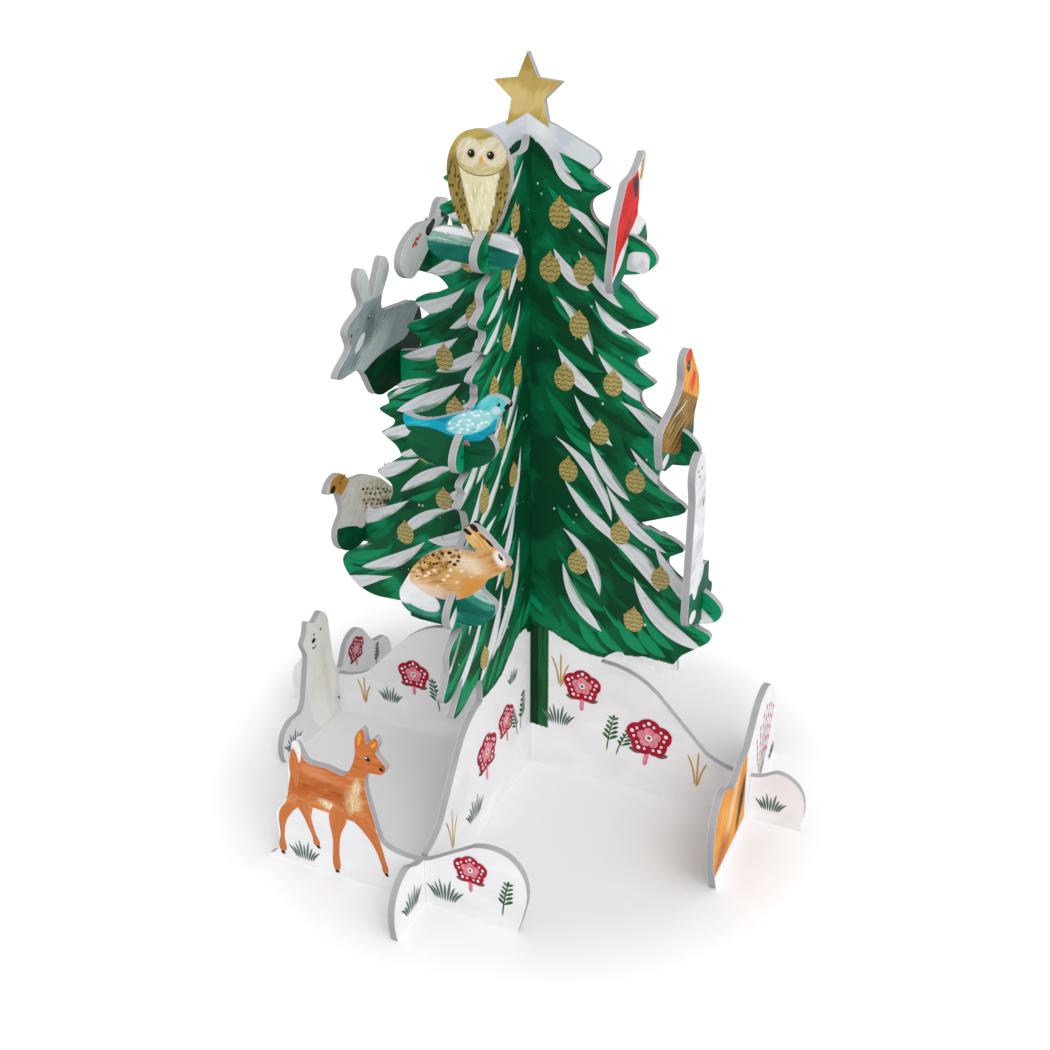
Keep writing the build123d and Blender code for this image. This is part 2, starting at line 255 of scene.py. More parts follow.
def make_dabs():
    """Loose dabs of a small brush over a surface: 1 on a dab, 0 between them."""
    wires, given, result = new_group(
        "dabs", dict(Place=(0, 0, 0), Spacing=3.0, Size=0.3, Turn=0.0, Stretch=1.5), Mask="Float")
    run = wires.along(given["Place"], given["Turn"])
    squeeze = wires.whole(wires.math("DIVIDE", 1.0, given["Stretch"]), 1.0, 1.0)
    cells = wires.node("TexVoronoi", voronoi_dimensions="2D")
    wires.feed(cells.inputs["Vector"], wires.vector("MULTIPLY", run, squeeze))
    wires.feed(cells.inputs["Scale"], wires.math("DIVIDE", 1.0, given["Spacing"]))
    wires.feed(cells.inputs["Randomness"], 1.0)
    ring = wires.math("MULTIPLY_ADD", wires.wobble(given["Place"], 0.9),
                      wires.times(given["Size"], 1.6), cells.outputs["Distance"])
    wires.feed(result["Mask"], wires.rise(ring, given["Size"], wires.times(given["Size"], 0.7)))
    return wires.tree


def make_cut_edge():
    """The die-cut edge: grey board pressed from long fibres, a thin pale skin on either side."""
    wires, given, result = new_group(
        "cut_edge", dict(Place=(0, 0, 0), Ply=0.0), Colour="Color", Height="Float")
    spot = wires.parts(given["Place"])
    drawn = wires.whole(wires.times(spot["X"], 0.5), wires.times(spot["Y"], 0.5),
                        wires.times(given["Ply"], 4.5))
    fibre = wires.noise(drawn, 1.0, 4.0, 0.6)
    cloud = wires.noise(given["Place"], 0.11, 2.0, 0.5)
    core = wires.over(ink(146, 145, 148), ink(186, 185, 188), wires.between(fibre, cloud, 0.5))
    skin = wires.rise(wires.math("ABSOLUTE", given["Ply"]), 1.22, 1.34)
    wires.feed(result["Colour"], wires.over(core, ink(200, 200, 203), skin))
    wires.feed(result["Height"], fibre)
    return wires.tree


card_place, brushed_paint, oval_field = make_card_place(), make_brushed_paint(), make_oval_field()
line_field, dabs, cut_edge = make_line_field(), make_dabs(), make_cut_edge()


def new_finish(name):
    """A new material with its wiring and its shader."""
    material = bpy.data.materials.new(name)
    material.use_nodes = True
    shader = material.node_tree.nodes["Principled BSDF"]
    shader.inputs["Specular IOR Level"].default_value = PAINT_GLOSS
    return material, Wiring(material.node_tree), shader


# Cards

class Sheet:
    """One card: where it stands, its material, and the ink laid on it so far."""

    def __init__(self, node):
        self.node = node
        self.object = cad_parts[node]
        low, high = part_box(node)
        self.across = high.y - low.y < high.x - low.x
        self.stand = (low.y + high.y) / 2 if self.across else (low.x + high.x) / 2
        self.stand /= MM
        self.seat = SEATS[node]
        mesh = self.object.data
        self.tree = BVHTree.FromPolygons([v.co for v in mesh.vertices], [p.vertices for p in mesh.polygons])
        self.material, self.wires, self.shader = new_finish(node + "_print")
        found = self.wires.put(card_place, Across=float(self.across), Stand=self.stand, Seat=self.seat)
        self.place, self.printed, self.ply = found["Place"], found["Printed"], found["Ply"]
        self.ridge = 0.5
        self.colour = self.brush(PAPER_SHADE, PAPER, PAPER_LIGHT, 4, 60, 22)

    def oval(self, centre, radii, turn=0.0, soft=0.08, ragged=0.12):
        return self.wires.put(oval_field, Place=self.place, Centre=(*centre, 0), Radii=(*radii, 1),
                              Turn=float(turn), Soft=soft, Ragged=ragged)["Mask"]

    def above(self, through, turn=0.0, soft=0.3, ragged=1.0):
        return self.wires.put(line_field, Place=self.place, Through=(*through, 0), Turn=float(turn),
                              Soft=soft, Ragged=ragged)["Mask"]

    def below(self, through, turn=0.0, soft=0.3, ragged=1.0):
        return self.above(through, turn + 180.0, soft, ragged)

    def left_of(self, u, soft=0.2, ragged=0.4):
        return self.above((u, 0), 90, soft, ragged)

    def right_of(self, u, soft=0.2, ragged=0.4):
        return self.above((u, 0), -90, soft, ragged)

    def over_profile(self, points, mirrored=False, soft=0.35, ragged=1.2):
        """1 above a smooth line through (u, h) points. Mirrored takes u as the distance from the trunk."""
        wires, spot = self.wires, self.wires.parts(self.place)
        along = wires.math("ABSOLUTE", spot["X"]) if mirrored else spot["X"]
        left, right = points[0][0], points[-1][0]
        low, high = min(h for u, h in points), max(h for u, h in points)
        curve = wires.node("FloatCurve")
        line = curve.mapping.curves[0]
        shares = [((u - left) / (right - left), (h - low) / (high - low or 1.0)) for u, h in points]
        line.points[0].location, line.points[1].location = shares[0], shares[-1]
        for share in shares[1:-1]:
            line.points.new(*share)
        curve.mapping.extend = "HORIZONTAL"
        curve.mapping.update()
        share = wires.math("DIVIDE", wires.math("SUBTRACT", along, left), right - left)
        wires.feed(curve.inputs["Value"], share)
        edge = wires.math("MULTIPLY_ADD", curve.outputs[0], high - low, low)
        level = wires.math("MULTIPLY_ADD", wires.wobble(self.place, 0.5), ragged,
                           wires.math("SUBTRACT", spot["Y"], edge))
        return wires.rise(level, -soft, soft)

    def dabs(self, spacing, size, turn=0.0, stretch=1.5):
        return self.wires.put(dabs, Place=self.place, Spacing=spacing, Size=size, Turn=float(turn),
                              Stretch=stretch)["Mask"]

    def within(self, *masks):
        """Where all of these masks hold."""
        found = masks[0]
        for mask in masks[1:]:
            found = self.wires.times(found, mask)
        return found

    def either(self, *masks):
        """Where any of these masks holds."""
        found = masks[0]
        for mask in masks[1:]:
            found = self.wires.math("MAXIMUM", found, mask)
        return found

    def brush(self, dark, mid, light, turn=0.0, length=20.0, width=2.0, wash=0.0, place=None, pooled=0.42):
        found = self.wires.put(brushed_paint, Place=place or self.place, Dark=dark, Mid=mid, Light=light,
                               Turn=float(turn), Length=float(length), Width=float(width), Wash=wash,
                               Pooled=pooled)
        self.ridge = found["Ridge"]
        return found["Colour"]

    def lay(self, colour, mask=None):
        self.colour = colour if mask is None else self.wires.over(self.colour, colour, mask)

    def paint(self, mask, dark, mid, light, *strokes, **feel):
        """Lays brushed paint of three tones, given as the printer reads them, where the mask says."""
        self.lay(self.brush(ink(*dark), ink(*mid), ink(*light), *strokes, **feel), mask)

    def finish(self):
        """Puts the cut edge round the print, and gives the card its satin and its tooth."""
        wires, shader = self.wires, self.shader
        edge = wires.put(cut_edge, Place=self.place, Ply=self.ply)
        wires.feed(shader.inputs["Base Color"], wires.over(edge["Colour"], self.colour, self.printed))
        tooth = wires.noise(self.place, 2.6, 3.0, 0.6)
        satin = wires.math("MULTIPLY_ADD", tooth, 0.16, 0.48)
        wires.feed(shader.inputs["Roughness"], wires.between(0.86, satin, self.printed))
        face = wires.between(tooth, self.ridge, 0.5)
        bump = wires.node("Bump")
        bump.inputs["Strength"].default_value = 0.22
        bump.inputs["Distance"].default_value = 0.12 * MM
        wires.feed(bump.inputs["Height"], wires.between(edge["Height"], face, self.printed))
        wires.feed(shader.inputs["Normal"], bump.outputs[0])
        self.object.data.materials.clear()
        self.object.data.materials.append(self.material)

    def holds(self, u, h, front):
        """True if the card's printed face is there."""
        side = -1 if self.across == front else 1
        off = (self.stand + side * 20.0) * MM
        height = (h + self.seat) * MM
        start = Vector((u * MM, off, height)) if self.across else Vector((off, u * MM, height))
        way = Vector((0, -side, 0)) if self.across else Vector((-side, 0, 0))
        hit = self.tree.ray_cast(start, way, 0.03)
        return hit[0] is not None and abs(hit[3] / MM - (20.0 - CARD / 2)) < 0.05


def solid_ink(name, dark, light, grain=0.6, rough=0.5):
    """Material for a mark of opaque paint that dries a little uneven."""
    material, wires, shader = new_finish(name)
    spot = wires.vector("MULTIPLY", wires.node("TexCoord").outputs["Object"], (1000.0, 1000.0, 700.0))
    uneven = wires.noise(spot, grain, 3.0, 0.6)
    wires.feed(shader.inputs["Base Color"], wires.over(dark, light, wires.rise(uneven, 0.38, 0.62)))
    wires.feed(shader.inputs["Roughness"], wires.math("MULTIPLY_ADD", uneven, 0.18, rough - 0.09))
    return material


def brush_ink(name, body, dry, under, dryness=0.5):
    """Material for a brush stroke with its own length and width: one side runs dry in fine lines."""
    material, wires, shader = new_finish(name)
    spot = wires.parts(wires.node("TexCoord").outputs["UV"])
    place = wires.vector("MULTIPLY", wires.node("TexCoord").outputs["Object"], IN_MM)
    hand = wires.noise(place, 0.06, 2.0, 0.5)
    bristle = wires.noise(wires.whole(wires.times(spot["X"], 2.2), wires.times(spot["Y"], 9.0), hand),
                          1.0, 4.0, 0.7)
    lean = wires.math("ADD", wires.times(spot["Y"], 0.55), wires.times(hand, 0.9))
    dry_side = wires.rise(wires.math("ADD", lean, wires.times(bristle, 0.55)),
                          1.32 - dryness * 0.4, 1.5 - dryness * 0.4)
    colour = wires.over(body, dry, wires.rise(bristle, 0.45, 0.68))
    wires.feed(shader.inputs["Base Color"], wires.over(colour, under, dry_side))
    wires.feed(shader.inputs["Roughness"], wires.math("MULTIPLY_ADD", bristle, 0.2, 0.42))
    return material


def bauble_ink(name, gold, deep, line):
    """Gold foil of a bauble, crossed by wavy bands that leave the green showing."""
    material, wires, shader = new_finish(name)
    spot = wires.parts(wires.node("TexCoord").outputs["UV"])
    wave = wires.math("SINE", wires.times(spot["X"], 19.0))
    height = wires.math("MULTIPLY_ADD", wave, 0.028, spot["Y"])
    band = wires.math("SINE", wires.times(height, 33.0))
    place = wires.vector("MULTIPLY", wires.node("TexCoord").outputs["Object"], IN_MM)
    grain = wires.noise(place, 1.6, 3.0, 0.7)
    foil = wires.over(deep, gold, wires.rise(grain, 0.36, 0.6))
    wires.feed(shader.inputs["Base Color"], wires.over(foil, line, wires.rise(band, 0.72, 0.92)))
    wires.feed(shader.inputs["Roughness"], wires.math("MULTIPLY_ADD", grain, 0.2, 0.3))
    shader.inputs["Specular IOR Level"].default_value = 0.5
    return material


INKS = {}
for make, name, *values in (
        (brush_ink, "snow_stroke", ink(232, 233, 237), ink(206, 209, 214), ink(120, 158, 138)),
        (brush_ink, "bright_needles", BRIGHT_FIR, ink(30, 134, 90), FIR, 0.7),
        (brush_ink, "mid_needles", ink(0, 124, 78), ink(4, 112, 68), FIR, 0.6),
        (brush_ink, "dark_needles", DEEP_FIR, ink(0, 76, 46), FIR, 0.8),
        (solid_ink, "snow_bank", ink(212, 213, 219), ink(238, 239, 242), 0.4),
        (solid_ink, "snow_fleck", ink(150, 190, 170), ink(214, 222, 220)),
        (bauble_ink, "bauble_foil", ink(208, 184, 112), ink(150, 122, 58), ink(58, 110, 56)),
        (solid_ink, "bauble_cap", ink(150, 120, 58), ink(206, 180, 110), 1.4, 0.4),
        (solid_ink, "crimson", ink(150, 10, 42), ink(184, 18, 52), 0.5),
        (solid_ink, "rose", ink(212, 118, 136), ink(230, 150, 164), 0.6),
        (solid_ink, "khaki", ink(190, 172, 110), ink(214, 202, 156), 1.2),
        (solid_ink, "pearl", ink(232, 224, 206), ink(247, 242, 236), 1.1),
        (solid_ink, "chalk", ink(232, 230, 228), ink(248, 247, 245), 1.0),
        (solid_ink, "bark", ink(96, 70, 66), ink(128, 100, 94), 1.0),
        (brush_ink, "grass", ink(84, 104, 99), ink(116, 136, 130), ink(150, 166, 161), 0.4),
        (solid_ink, "slate", ink(92, 104, 112), ink(122, 136, 143), 0.9),
        (solid_ink, "leaf", ink(30, 84, 44), ink(58, 112, 62), 0.8),
        (brush_ink, "straw", ink(200, 158, 66), ink(160, 118, 48), ink(214, 182, 104), 0.4),
        (solid_ink, "black", ink(14, 14, 18), ink(34, 33, 38), 0.9, 0.4),
        (brush_ink, "fawn", ink(202, 115, 57), ink(216, 138, 84), ink(170, 84, 34), 0.3),
        (solid_ink, "orange", ink(232, 150, 40), ink(244, 172, 62), 0.9),
        (solid_ink, "tawny", ink(150, 106, 62), ink(184, 142, 96), 0.9),
        (solid_ink, "brown", ink(92, 62, 24), ink(132, 92, 40), 0.9),
        (solid_ink, "olive", ink(84, 80, 30), ink(122, 112, 48), 0.9),
        (solid_ink, "vermilion", ink(214, 56, 32), ink(236, 96, 60), 0.9),
        (solid_ink, "twig", ink(74, 60, 42), ink(118, 110, 84), 0.9)):
    INKS[name] = make(name, *values)


# Marks of opaque paint: two brush marks and a dot are modelled once, and each mark is a copy put in place

def clear_selection():
    bpy.ops.object.select_all(action="DESELECT")


def template(name):
    made = bpy.context.object
    made.name = name
    made.hide_render = True
    return made


clear_selection()
bpy.ops.mesh.primitive_grid_add(x_subdivisions=16, y_subdivisions=4, size=1.0)
broad_mark = template("broad_mark")
clear_selection()
bpy.ops.mesh.primitive_grid_add(x_subdivisions=9, y_subdivisions=2, size=1.0)
fine_mark = template("fine_mark")
clear_selection()
bpy.ops.mesh.primitive_circle_add(vertices=18, radius=1.0, fill_type="TRIFAN")
round_mark = template("round_mark")

# Width of a stroke along its length, as a share of its widest
WIDTHS = {
    "lens": lambda t: math.sin(math.pi * t) ** 0.75,
    "drift": lambda t: math.sin(math.pi * min(1.0, t ** 1.25 * 1.02)) ** 0.72 if t < 0.985 else 0.0,
    "petal": lambda t: math.sin(math.pi * t ** 1.35) ** 0.6 if 0 < t < 1 else 0.0,
    "line": lambda t: min(1.0, 0.35 + 7 * t, 0.25 + 7 * (1.0 - t)),
}


class Side:
    """One printed face of a card, on which opaque marks are put."""

    def __init__(self, sheet, front):
        self.sheet, self.front = sheet, front
        self.marks = {}
        self.laid = 0

    def lift(self, layer):
        """How far the next mark stands off the card: by its layer, and a hair over the mark before it."""
        self.laid += 1
        return INK_LIFT * layer + INK_HAIR * (self.laid % 60)

    def spot(self, u, h, lift):
        sheet = self.sheet
        side = -1 if sheet.across == self.front else 1
        off = (sheet.stand + side * (CARD / 2 + lift)) * MM
        height = (h + sheet.seat) * MM
        return (u * MM, off, height) if sheet.across else (off, u * MM, height)

    def copy_of(self, pattern, spots, paint, layer):
        """A copy of a pattern with its own mesh, its corners put at these places on the card."""
        made = pattern.copy()
        made.data = pattern.data.copy()
        made.hide_render = False
        bpy.context.scene.collection.objects.link(made)
        lift = self.lift(layer)
        flat = [number for u, h in spots for number in self.spot(u, h, lift)]
        made.data.vertices.foreach_set("co", flat)
        if not self.front:
            made.data.flip_normals()
        self.marks.setdefault(paint, []).append(made)

    def stroke(self, start, end, width, paint, bow=0.0, shape="lens", layer=1, trimmed=False, broad=False):
        """A brush stroke from start to end that bows to its left. Trimmed strokes end at the card's edge."""
        pattern = broad_mark if broad else fine_mark
        (u0, h0), (u1, h1) = start, end
        run = math.hypot(u1 - u0, h1 - h0)
        du, dh = (u1 - u0) / run, (h1 - h0) / run

        def at(t, s):
            lift = bow * 4 * t * (1 - t) + s * width * WIDTHS[shape](t)
            tilt = bow * 4 * (1 - 2 * t) / run
            back = -s * width * WIDTHS[shape](t) * tilt
            reach = t * run + back
            return u0 + du * reach - dh * lift, h0 + dh * reach + du * lift

        spans = {}
        spots = []
        for vertex in pattern.data.vertices:
            t, s = vertex.co.x + 0.5, vertex.co.y
            if trimmed:
                if round(s, 4) not in spans:
                    spans[round(s, 4)] = self.span(lambda t: at(t, s))
                low, high = spans[round(s, 4)]
                t = low + (high - low) * t
            spots.append(at(t, s))
        if trimmed and max(high - low for low, high in spans.values()) < 0.3:
            return
        self.copy_of(pattern, spots, paint, layer)

    def sweep(self, start, end, width, paint, bow, layer=1):
        """A stroke of the broad brush that fades out and ends where the card does."""
        self.stroke(start, end, width, paint, bow, "drift", layer, trimmed=True, broad=True)

    def span(self, at):
        """Stretch of a stroke, as shares of its length, that lies on the card round its middle."""
        ends = []
        for way in (-1, 1):
            share, step = 0.5, 0.04
            if not self.on_card(*at(0.5)):
                return 0.5, 0.5
            while step > 0.002:
                further = share + way * step
                if 0 <= further <= 1 and self.on_card(*at(further)):
                    share = further
                else:
                    step /= 2
            ends.append(share)
        return ends[0], ends[1]

    def on_card(self, u, h):
        """True if the card's printed face is there on this side."""
        return self.sheet.holds(u, h, self.front)

    def dot(self, centre, radii, paint, turn=0.0, layer=1):
        spots = []
        cos, sin = math.cos(math.radians(turn)), math.sin(math.radians(turn))
        for vertex in round_mark.data.vertices:
            a, b = vertex.co.x * radii[0], vertex.co.y * radii[1]
            spots.append((centre[0] + a * cos - b * sin, centre[1] + a * sin + b * cos))
        self.copy_of(round_mark, spots, paint, layer)

    def patch(self, points, paint, layer=1):
        """A smooth closed shape, drawn as a flat curve and made a mesh."""
        curve = bpy.data.curves.new("patch", "CURVE")
        curve.dimensions, curve.fill_mode, curve.resolution_u = "2D", "BOTH", 6
        spline = curve.splines.new("BEZIER")
        spline.use_cyclic_u = True
        spline.bezier_points.add(len(points) - 1)
        for corner, (u, h) in zip(spline.bezier_points, points):
            corner.co = (u, h, 0)
            corner.handle_left_type = corner.handle_right_type = "AUTO"
        drawn = bpy.data.objects.new("patch", curve)
        bpy.context.scene.collection.objects.link(drawn)
        clear_selection()
        drawn.select_set(True)
        bpy.context.view_layer.objects.active = drawn
        bpy.ops.object.convert(target="MESH")
        mesh = drawn.data
        facing_up = sum(face.normal.z for face in mesh.polygons) > 0
        lift = self.lift(layer)
        spots = [self.spot(v.co.x, v.co.y, lift) for v in mesh.vertices]
        mesh.vertices.foreach_set("co", [number for spot in spots for number in spot])
        if facing_up != self.front:
            mesh.flip_normals()
        self.marks.setdefault(paint, []).append(drawn)

    def finish(self):
        """Joins the marks of each ink into one piece that rides with the tree."""
        for paint, marks in self.marks.items():
            clear_selection()
            for mark in marks:
                mark.data.materials.clear()
                mark.select_set(True)
            bpy.context.view_layer.objects.active = marks[0]
            if len(marks) > 1:
                bpy.ops.object.join()
            piece = marks[0]
            piece.name = f"{self.sheet.node}_{'front' if self.front else 'back'}_{paint}"
            piece.data.name = piece.name
            piece.data.materials.append(INKS[paint])
            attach(piece, "root")


# Things printed over and over

def grass_tuft(side, foot, height):
    """Fan of grass blades from a foot on the snow."""
    blades = 9
    for blade in range(blades):
        lean = (blade / (blades - 1) - 0.5) * 2
        tall = height * (1.0 - 0.38 * abs(lean) ** 1.5) * (0.86 + 0.14 * math.cos(blade * 2.4))
        root = (foot[0] + lean * height * 0.30, foot[1] + abs(lean) * 0.04 * height)
        tip = (root[0] + lean * tall * 0.52, root[1] + tall * (0.96 - 0.22 * abs(lean)))
        side.stroke(root, tip, 0.085 * height, "grass", bow=lean * 0.05 * height)


def straw_stems(side, foot, height):
    """Three dry stems from one foot."""
    for lean, share in ((-0.26, 0.86), (0.0, 1.0), (0.22, 0.72)):
        root = (foot[0] + lean * 3.0, foot[1] + abs(lean) * 4.0)
        tip = (foot[0] + lean * height, foot[1] + share * height)
        side.stroke(root, tip, 0.75, "straw", bow=lean * 3.0, shape="line")


def leafy_sprig(side, foot, height, lean=0.15):
    """Stem with pairs of small leaves."""
    pairs = 5
    tip = (foot[0] + lean * height, foot[1] + height)
    side.stroke(foot, tip, 0.6, "leaf", bow=lean * 2.0, shape="line")
    for pair in range(pairs):
        share = 0.36 + 0.6 * pair / (pairs - 1)
        at = (foot[0] + (tip[0] - foot[0]) * share, foot[1] + height * share)
        size = height * (0.24 - 0.02 * pair)
        for hand in (-1, 1):
            end = (at[0] + hand * size * 0.85 + lean * size, at[1] + size * 0.72)
            side.stroke(at, end, size * 0.36, "leaf", bow=hand * 0.05 * size, shape="petal", layer=2)
    side.stroke(tip, (tip[0] + lean * 3, tip[1] + height * 0.14), height * 0.07, "leaf", layer=2)


def blossom(side, centre, size, stem=8.0, lean=0.0):
    """Five crimson petals with a rosy heart and white dots, on a short stem with two leaves."""
    foot = (centre[0] - lean * stem, centre[1] - 0.35 * size - stem)
    side.stroke(foot, (centre[0], centre[1] - 0.2 * size), 0.085 * size + 0.5, "rose", shape="line")
    for hand in (-1, 1):
        low = (centre[0] + hand * 0.05 * size, centre[1] - 0.30 * size)
        side.stroke(low, (low[0] + hand * 0.42 * size, low[1] - 0.08 * size), 0.17 * size, "bark",
                    bow=-hand * 0.06 * size, layer=2)
    for petal in range(5):
        turn = math.radians(90 + 72 * petal + 9 * lean)
        out = (math.cos(turn), math.sin(turn))
        tip = (centre[0] + 0.56 * size * out[0], centre[1] + 0.50 * size * out[1])
        side.stroke(centre, tip, 0.52 * size, "crimson", shape="petal", layer=3, broad=True)
        inner = (centre[0] + 0.30 * size * out[0], centre[1] + 0.27 * size * out[1])
        side.stroke(centre, inner, 0.24 * size, "rose", shape="petal", layer=4)
        for reach, aside, radius in ((0.42, 0.0, 0.045), (0.335, 0.115, 0.032), (0.335, -0.115, 0.032)):
            at = (centre[0] + size * (reach * out[0] - aside * out[1]),
                  centre[1] + size * (0.9 * reach * out[1] + aside * out[0]))
            side.dot(at, (radius * size, radius * size * 1.1), "chalk", layer=4)
    side.dot(centre, (0.085 * size, 0.085 * size), "chalk", layer=5)
    side.dot(centre, (0.045 * size, 0.045 * size), "bark", layer=6)


def plant(side, *rows):
    """Puts plants on the snow, each given as its function, its foot or heart, and its sizes."""
    for thing, *values in rows:
        thing(side, *values)


def bauble(side, centre, tall):
    """Round gold bauble with a cap and a loop."""
    side.dot(centre, (0.42 * tall, 0.5 * tall), "bauble_foil", layer=4)
    top = (centre[0], centre[1] + 0.5 * tall)
    side.dot(top, (0.13 * tall, 0.075 * tall), "bauble_cap", layer=5)
    side.dot((top[0], top[1] + 0.1 * tall), (0.05 * tall, 0.065 * tall), "bauble_cap", layer=5)


# Tree boards

def reach_of(sheet, hand, h):
    """Distance from the trunk to the outer cut edge at a height."""
    far = 0.0
    for step in range(2, 125):
        if sheet.holds(hand * float(step), h, True):
            far = float(step)
    return far


def foliage_place(sheet):
    """Place with u as the distance from the trunk, so that the brush runs outwards on both halves."""
    wires, spot = sheet.wires, sheet.wires.parts(sheet.place)
    hand = wires.times(wires.math("SIGN", spot["X"]), 40.0)
    return wires.whole(wires.math("ABSOLUTE", spot["X"]), spot["Y"], hand)


def print_board(sheet, hill_line):
    """Fir foliage over a snowy hill: deep at the trunk, bright and watery at the twig ends."""
    wires, spot = sheet.wires, sheet.wires.parts(sheet.place)
    edge = wires.math("MULTIPLY_ADD", wires.math("SUBTRACT", CROWN, spot["Y"]), 0.36, 17.0)
    share = wires.math("DIVIDE", wires.math("ABSOLUTE", spot["X"]), edge)
    wash = wires.math("MULTIPLY_ADD", wires.rise(share, 0.45, 1.0), 0.13, -0.07)
    needles = sheet.brush(DEEP_FIR, FIR, BRIGHT_FIR, -38, 26, 7, wash, foliage_place(sheet), 0.6)
    sheet.lay(needles, sheet.over_profile(hill_line, ragged=1.6))


def snow_strokes(side, hand, rows, seed, steep, slender):
    """Snow on the boughs of one half: rows of strokes that fall away from the trunk."""
    chance = random.Random(seed)
    for row in range(rows):
        h = CROWN - 14 - (CROWN - 92) * row / (rows - 1) + chance.uniform(-3, 3)
        reach = 17 + 0.34 * (CROWN - h)
        count = max(1, round(reach / 21))
        for place in range(count):
            share = (place + 0.30 + 0.35 * chance.random() + 0.2 * (row % 2)) / count
            u = 4 + share * (reach - 12)
            fall = steep + 20 * (1 - share) + chance.uniform(-9, 9)
            long = (17 + 0.14 * (CROWN - h)) * chance.uniform(0.75, 1.2)
            wide = (3.0 + 0.014 * (CROWN - h)) * chance.uniform(0.75, 1.25) * slender
            start = (u, h + 5)
            turn = math.radians(-fall)
            end = (u + long * math.cos(turn), h + 5 + long * math.sin(turn))
            if end[1] < SNOW_LINE or start[0] < 2.4:
                continue
            bow = chance.uniform(0.04, 0.13) * long
            side.sweep((hand * start[0], start[1]), (hand * end[0], end[1]), wide, "snow_stroke",
                       bow=-hand * bow if chance.random() < 0.75 else hand * bow, layer=2)
    for fleck in range(26):
        h = chance.uniform(80, CROWN - 20)
        u = hand * chance.uniform(4, 14 + 0.33 * (CROWN - h))
        if side.on_card(u, h):
            size = chance.uniform(0.25, 0.7)
            side.dot((u, h), (size, size * 1.1), "snow_fleck", layer=3)


def needle_marks(side, hand, seed):
    """Bright paint along each twig end, with a dark line under it."""
    chance = random.Random(seed)
    heights = [66 + 2.0 * step for step in range(100)]
    reaches = [reach_of(side.sheet, hand, h) for h in heights]
    for low, here, high, h in zip(reaches, reaches[1:], reaches[2:], heights[1:]):
        if here < 12 or here < low or here <= high:
            continue
        long = min(24.0, 0.45 * here + 4)
        rise = math.tan(math.radians(chance.uniform(18, 34)))
        side.sweep((hand * (here - long), h + 1.5 + rise * long), (hand * (here - 1.0), h + 1.0), 5.2,
                   "bright_needles", bow=-hand * 1.2)
        side.sweep((hand * (here - 0.8 * long), h - 3.2 + 0.6 * rise * long),
                   (hand * (here - 2.0), h - 2.0), 1.5, "dark_needles", bow=-hand * 1.5)


def height_at(line, u):
    """Height at u of a line through (u, h) points."""
    for (u0, h0), (u1, h1) in zip(line, line[1:]):
        if u0 <= u < u1:
            return h0 + (h1 - h0) * (u - u0) / (u1 - u0)


def needle_sweeps(side, hand, seed, hill_line):
    """Lighter and darker sweeps of the brush over the foliage, and its bright lips over the hill."""
    chance = random.Random(seed)
    for row in range(17):
        h = CROWN - 22 - row * 10.4 + chance.uniform(-3, 3)
        reach = 15 + 0.34 * (CROWN - h)
        for place in range(max(1, round(reach / 24))):
            u = 3 + (place + 0.2 + 0.6 * chance.random()) * 22
            long, fall = chance.uniform(17, 27), math.radians(chance.uniform(26, 46))
            end = (u + long * math.cos(fall), h - long * math.sin(fall))
            if u > reach - 6 or end[1] < SNOW_LINE:
                continue
            paint = chance.choice(("mid_needles", "mid_needles", "bright_needles", "dark_needles"))
            side.sweep((hand * u, h), (hand * end[0], end[1]), chance.uniform(3.0, 5.5), paint,
                       bow=-hand * 0.1 * long)
    for step in range(7):
        u = 10 + 8.5 * step + chance.uniform(-1, 1)
        low = height_at(hill_line, hand * u)
        side.sweep((hand * (u - 12), low + 16), (hand * (u + 1.5), low + 2.2), chance.uniform(4.5, 6.5),
                   chance.choice(("mid_needles", "bright_needles")), bow=-hand * 2.0)


def hang_baubles(side, hand, seed):
    """Baubles in rows over one half, wherever the card has room for one."""
    chance = random.Random(seed)
    for row in range(9):
        h = CROWN - 30 - row * 20.5 + chance.uniform(-3, 3)
        reach = 14 + 0.33 * (CROWN - h)
        for share in ((0.34, 0.80) if row % 2 else (0.60,)):
            u = hand * (share * reach + chance.uniform(-2, 2))
            round_it = ((u + 6, h), (u - 6, h), (u, h + 7), (u, h - 7))
            if all(side.on_card(*spot) for spot in round_it):
                bauble(side, (u, h), 9.7 + chance.uniform(-0.6, 0.6))


# The board with the star: snow cap, gold star, bare trunk at the foot
starred = Sheet("tree_board_with_star")
print_board(starred, STARRED_HILL)
snow_cap = starred.over_profile(((0, 272), (5.5, 268.5), (10, 263.4), (15, 260.0), (19, 260.4),
                                 (24.5, 261.5), (40, 261.5)), mirrored=True, ragged=2.4)
starred.paint(snow_cap, (206, 214, 223), (222, 228, 234), (236, 240, 243), -35, 24, 5,
              place=foliage_place(starred), pooled=0.7)
foil = starred.within(starred.over_profile(((0, 279.55), (4.1, 277.2), (8.2, 274.9), (20, 268.2)),
                                           mirrored=True, soft=0.1, ragged=0.0),
                      starred.either(starred.above((0, 282), 0, 0.1, 0.0),
                                     starred.oval((0, 278), (8.35, 300), 0, 0.01, 0.0)))
starred.paint(foil, (166, 140, 66), (190, 164, 88), (214, 192, 126), 60, 14, 3, pooled=0.7)
trunk = starred.within(starred.above((0, 21), -6, 0.3, 2.0), starred.below((0, 71)),
                       starred.oval((0, 40), (10.2, 400), 0, 0.03, 0.05))
starred.paint(trunk, (10, 66, 30), (22, 90, 46), (40, 112, 64), 90, 30, 1.6)
starred.paint(starred.within(trunk, starred.oval((0, 40), (5.4, 400), 0, 0.04, 0.1)), (0, 34, 14),
              (0, 48, 22), (10, 66, 34), 90, 30, 1.6)
starred.finish()

# The board that crosses it
crossing = Sheet("tree_board_crossing")
print_board(crossing, CROSSING_HILL)
crossing.finish()


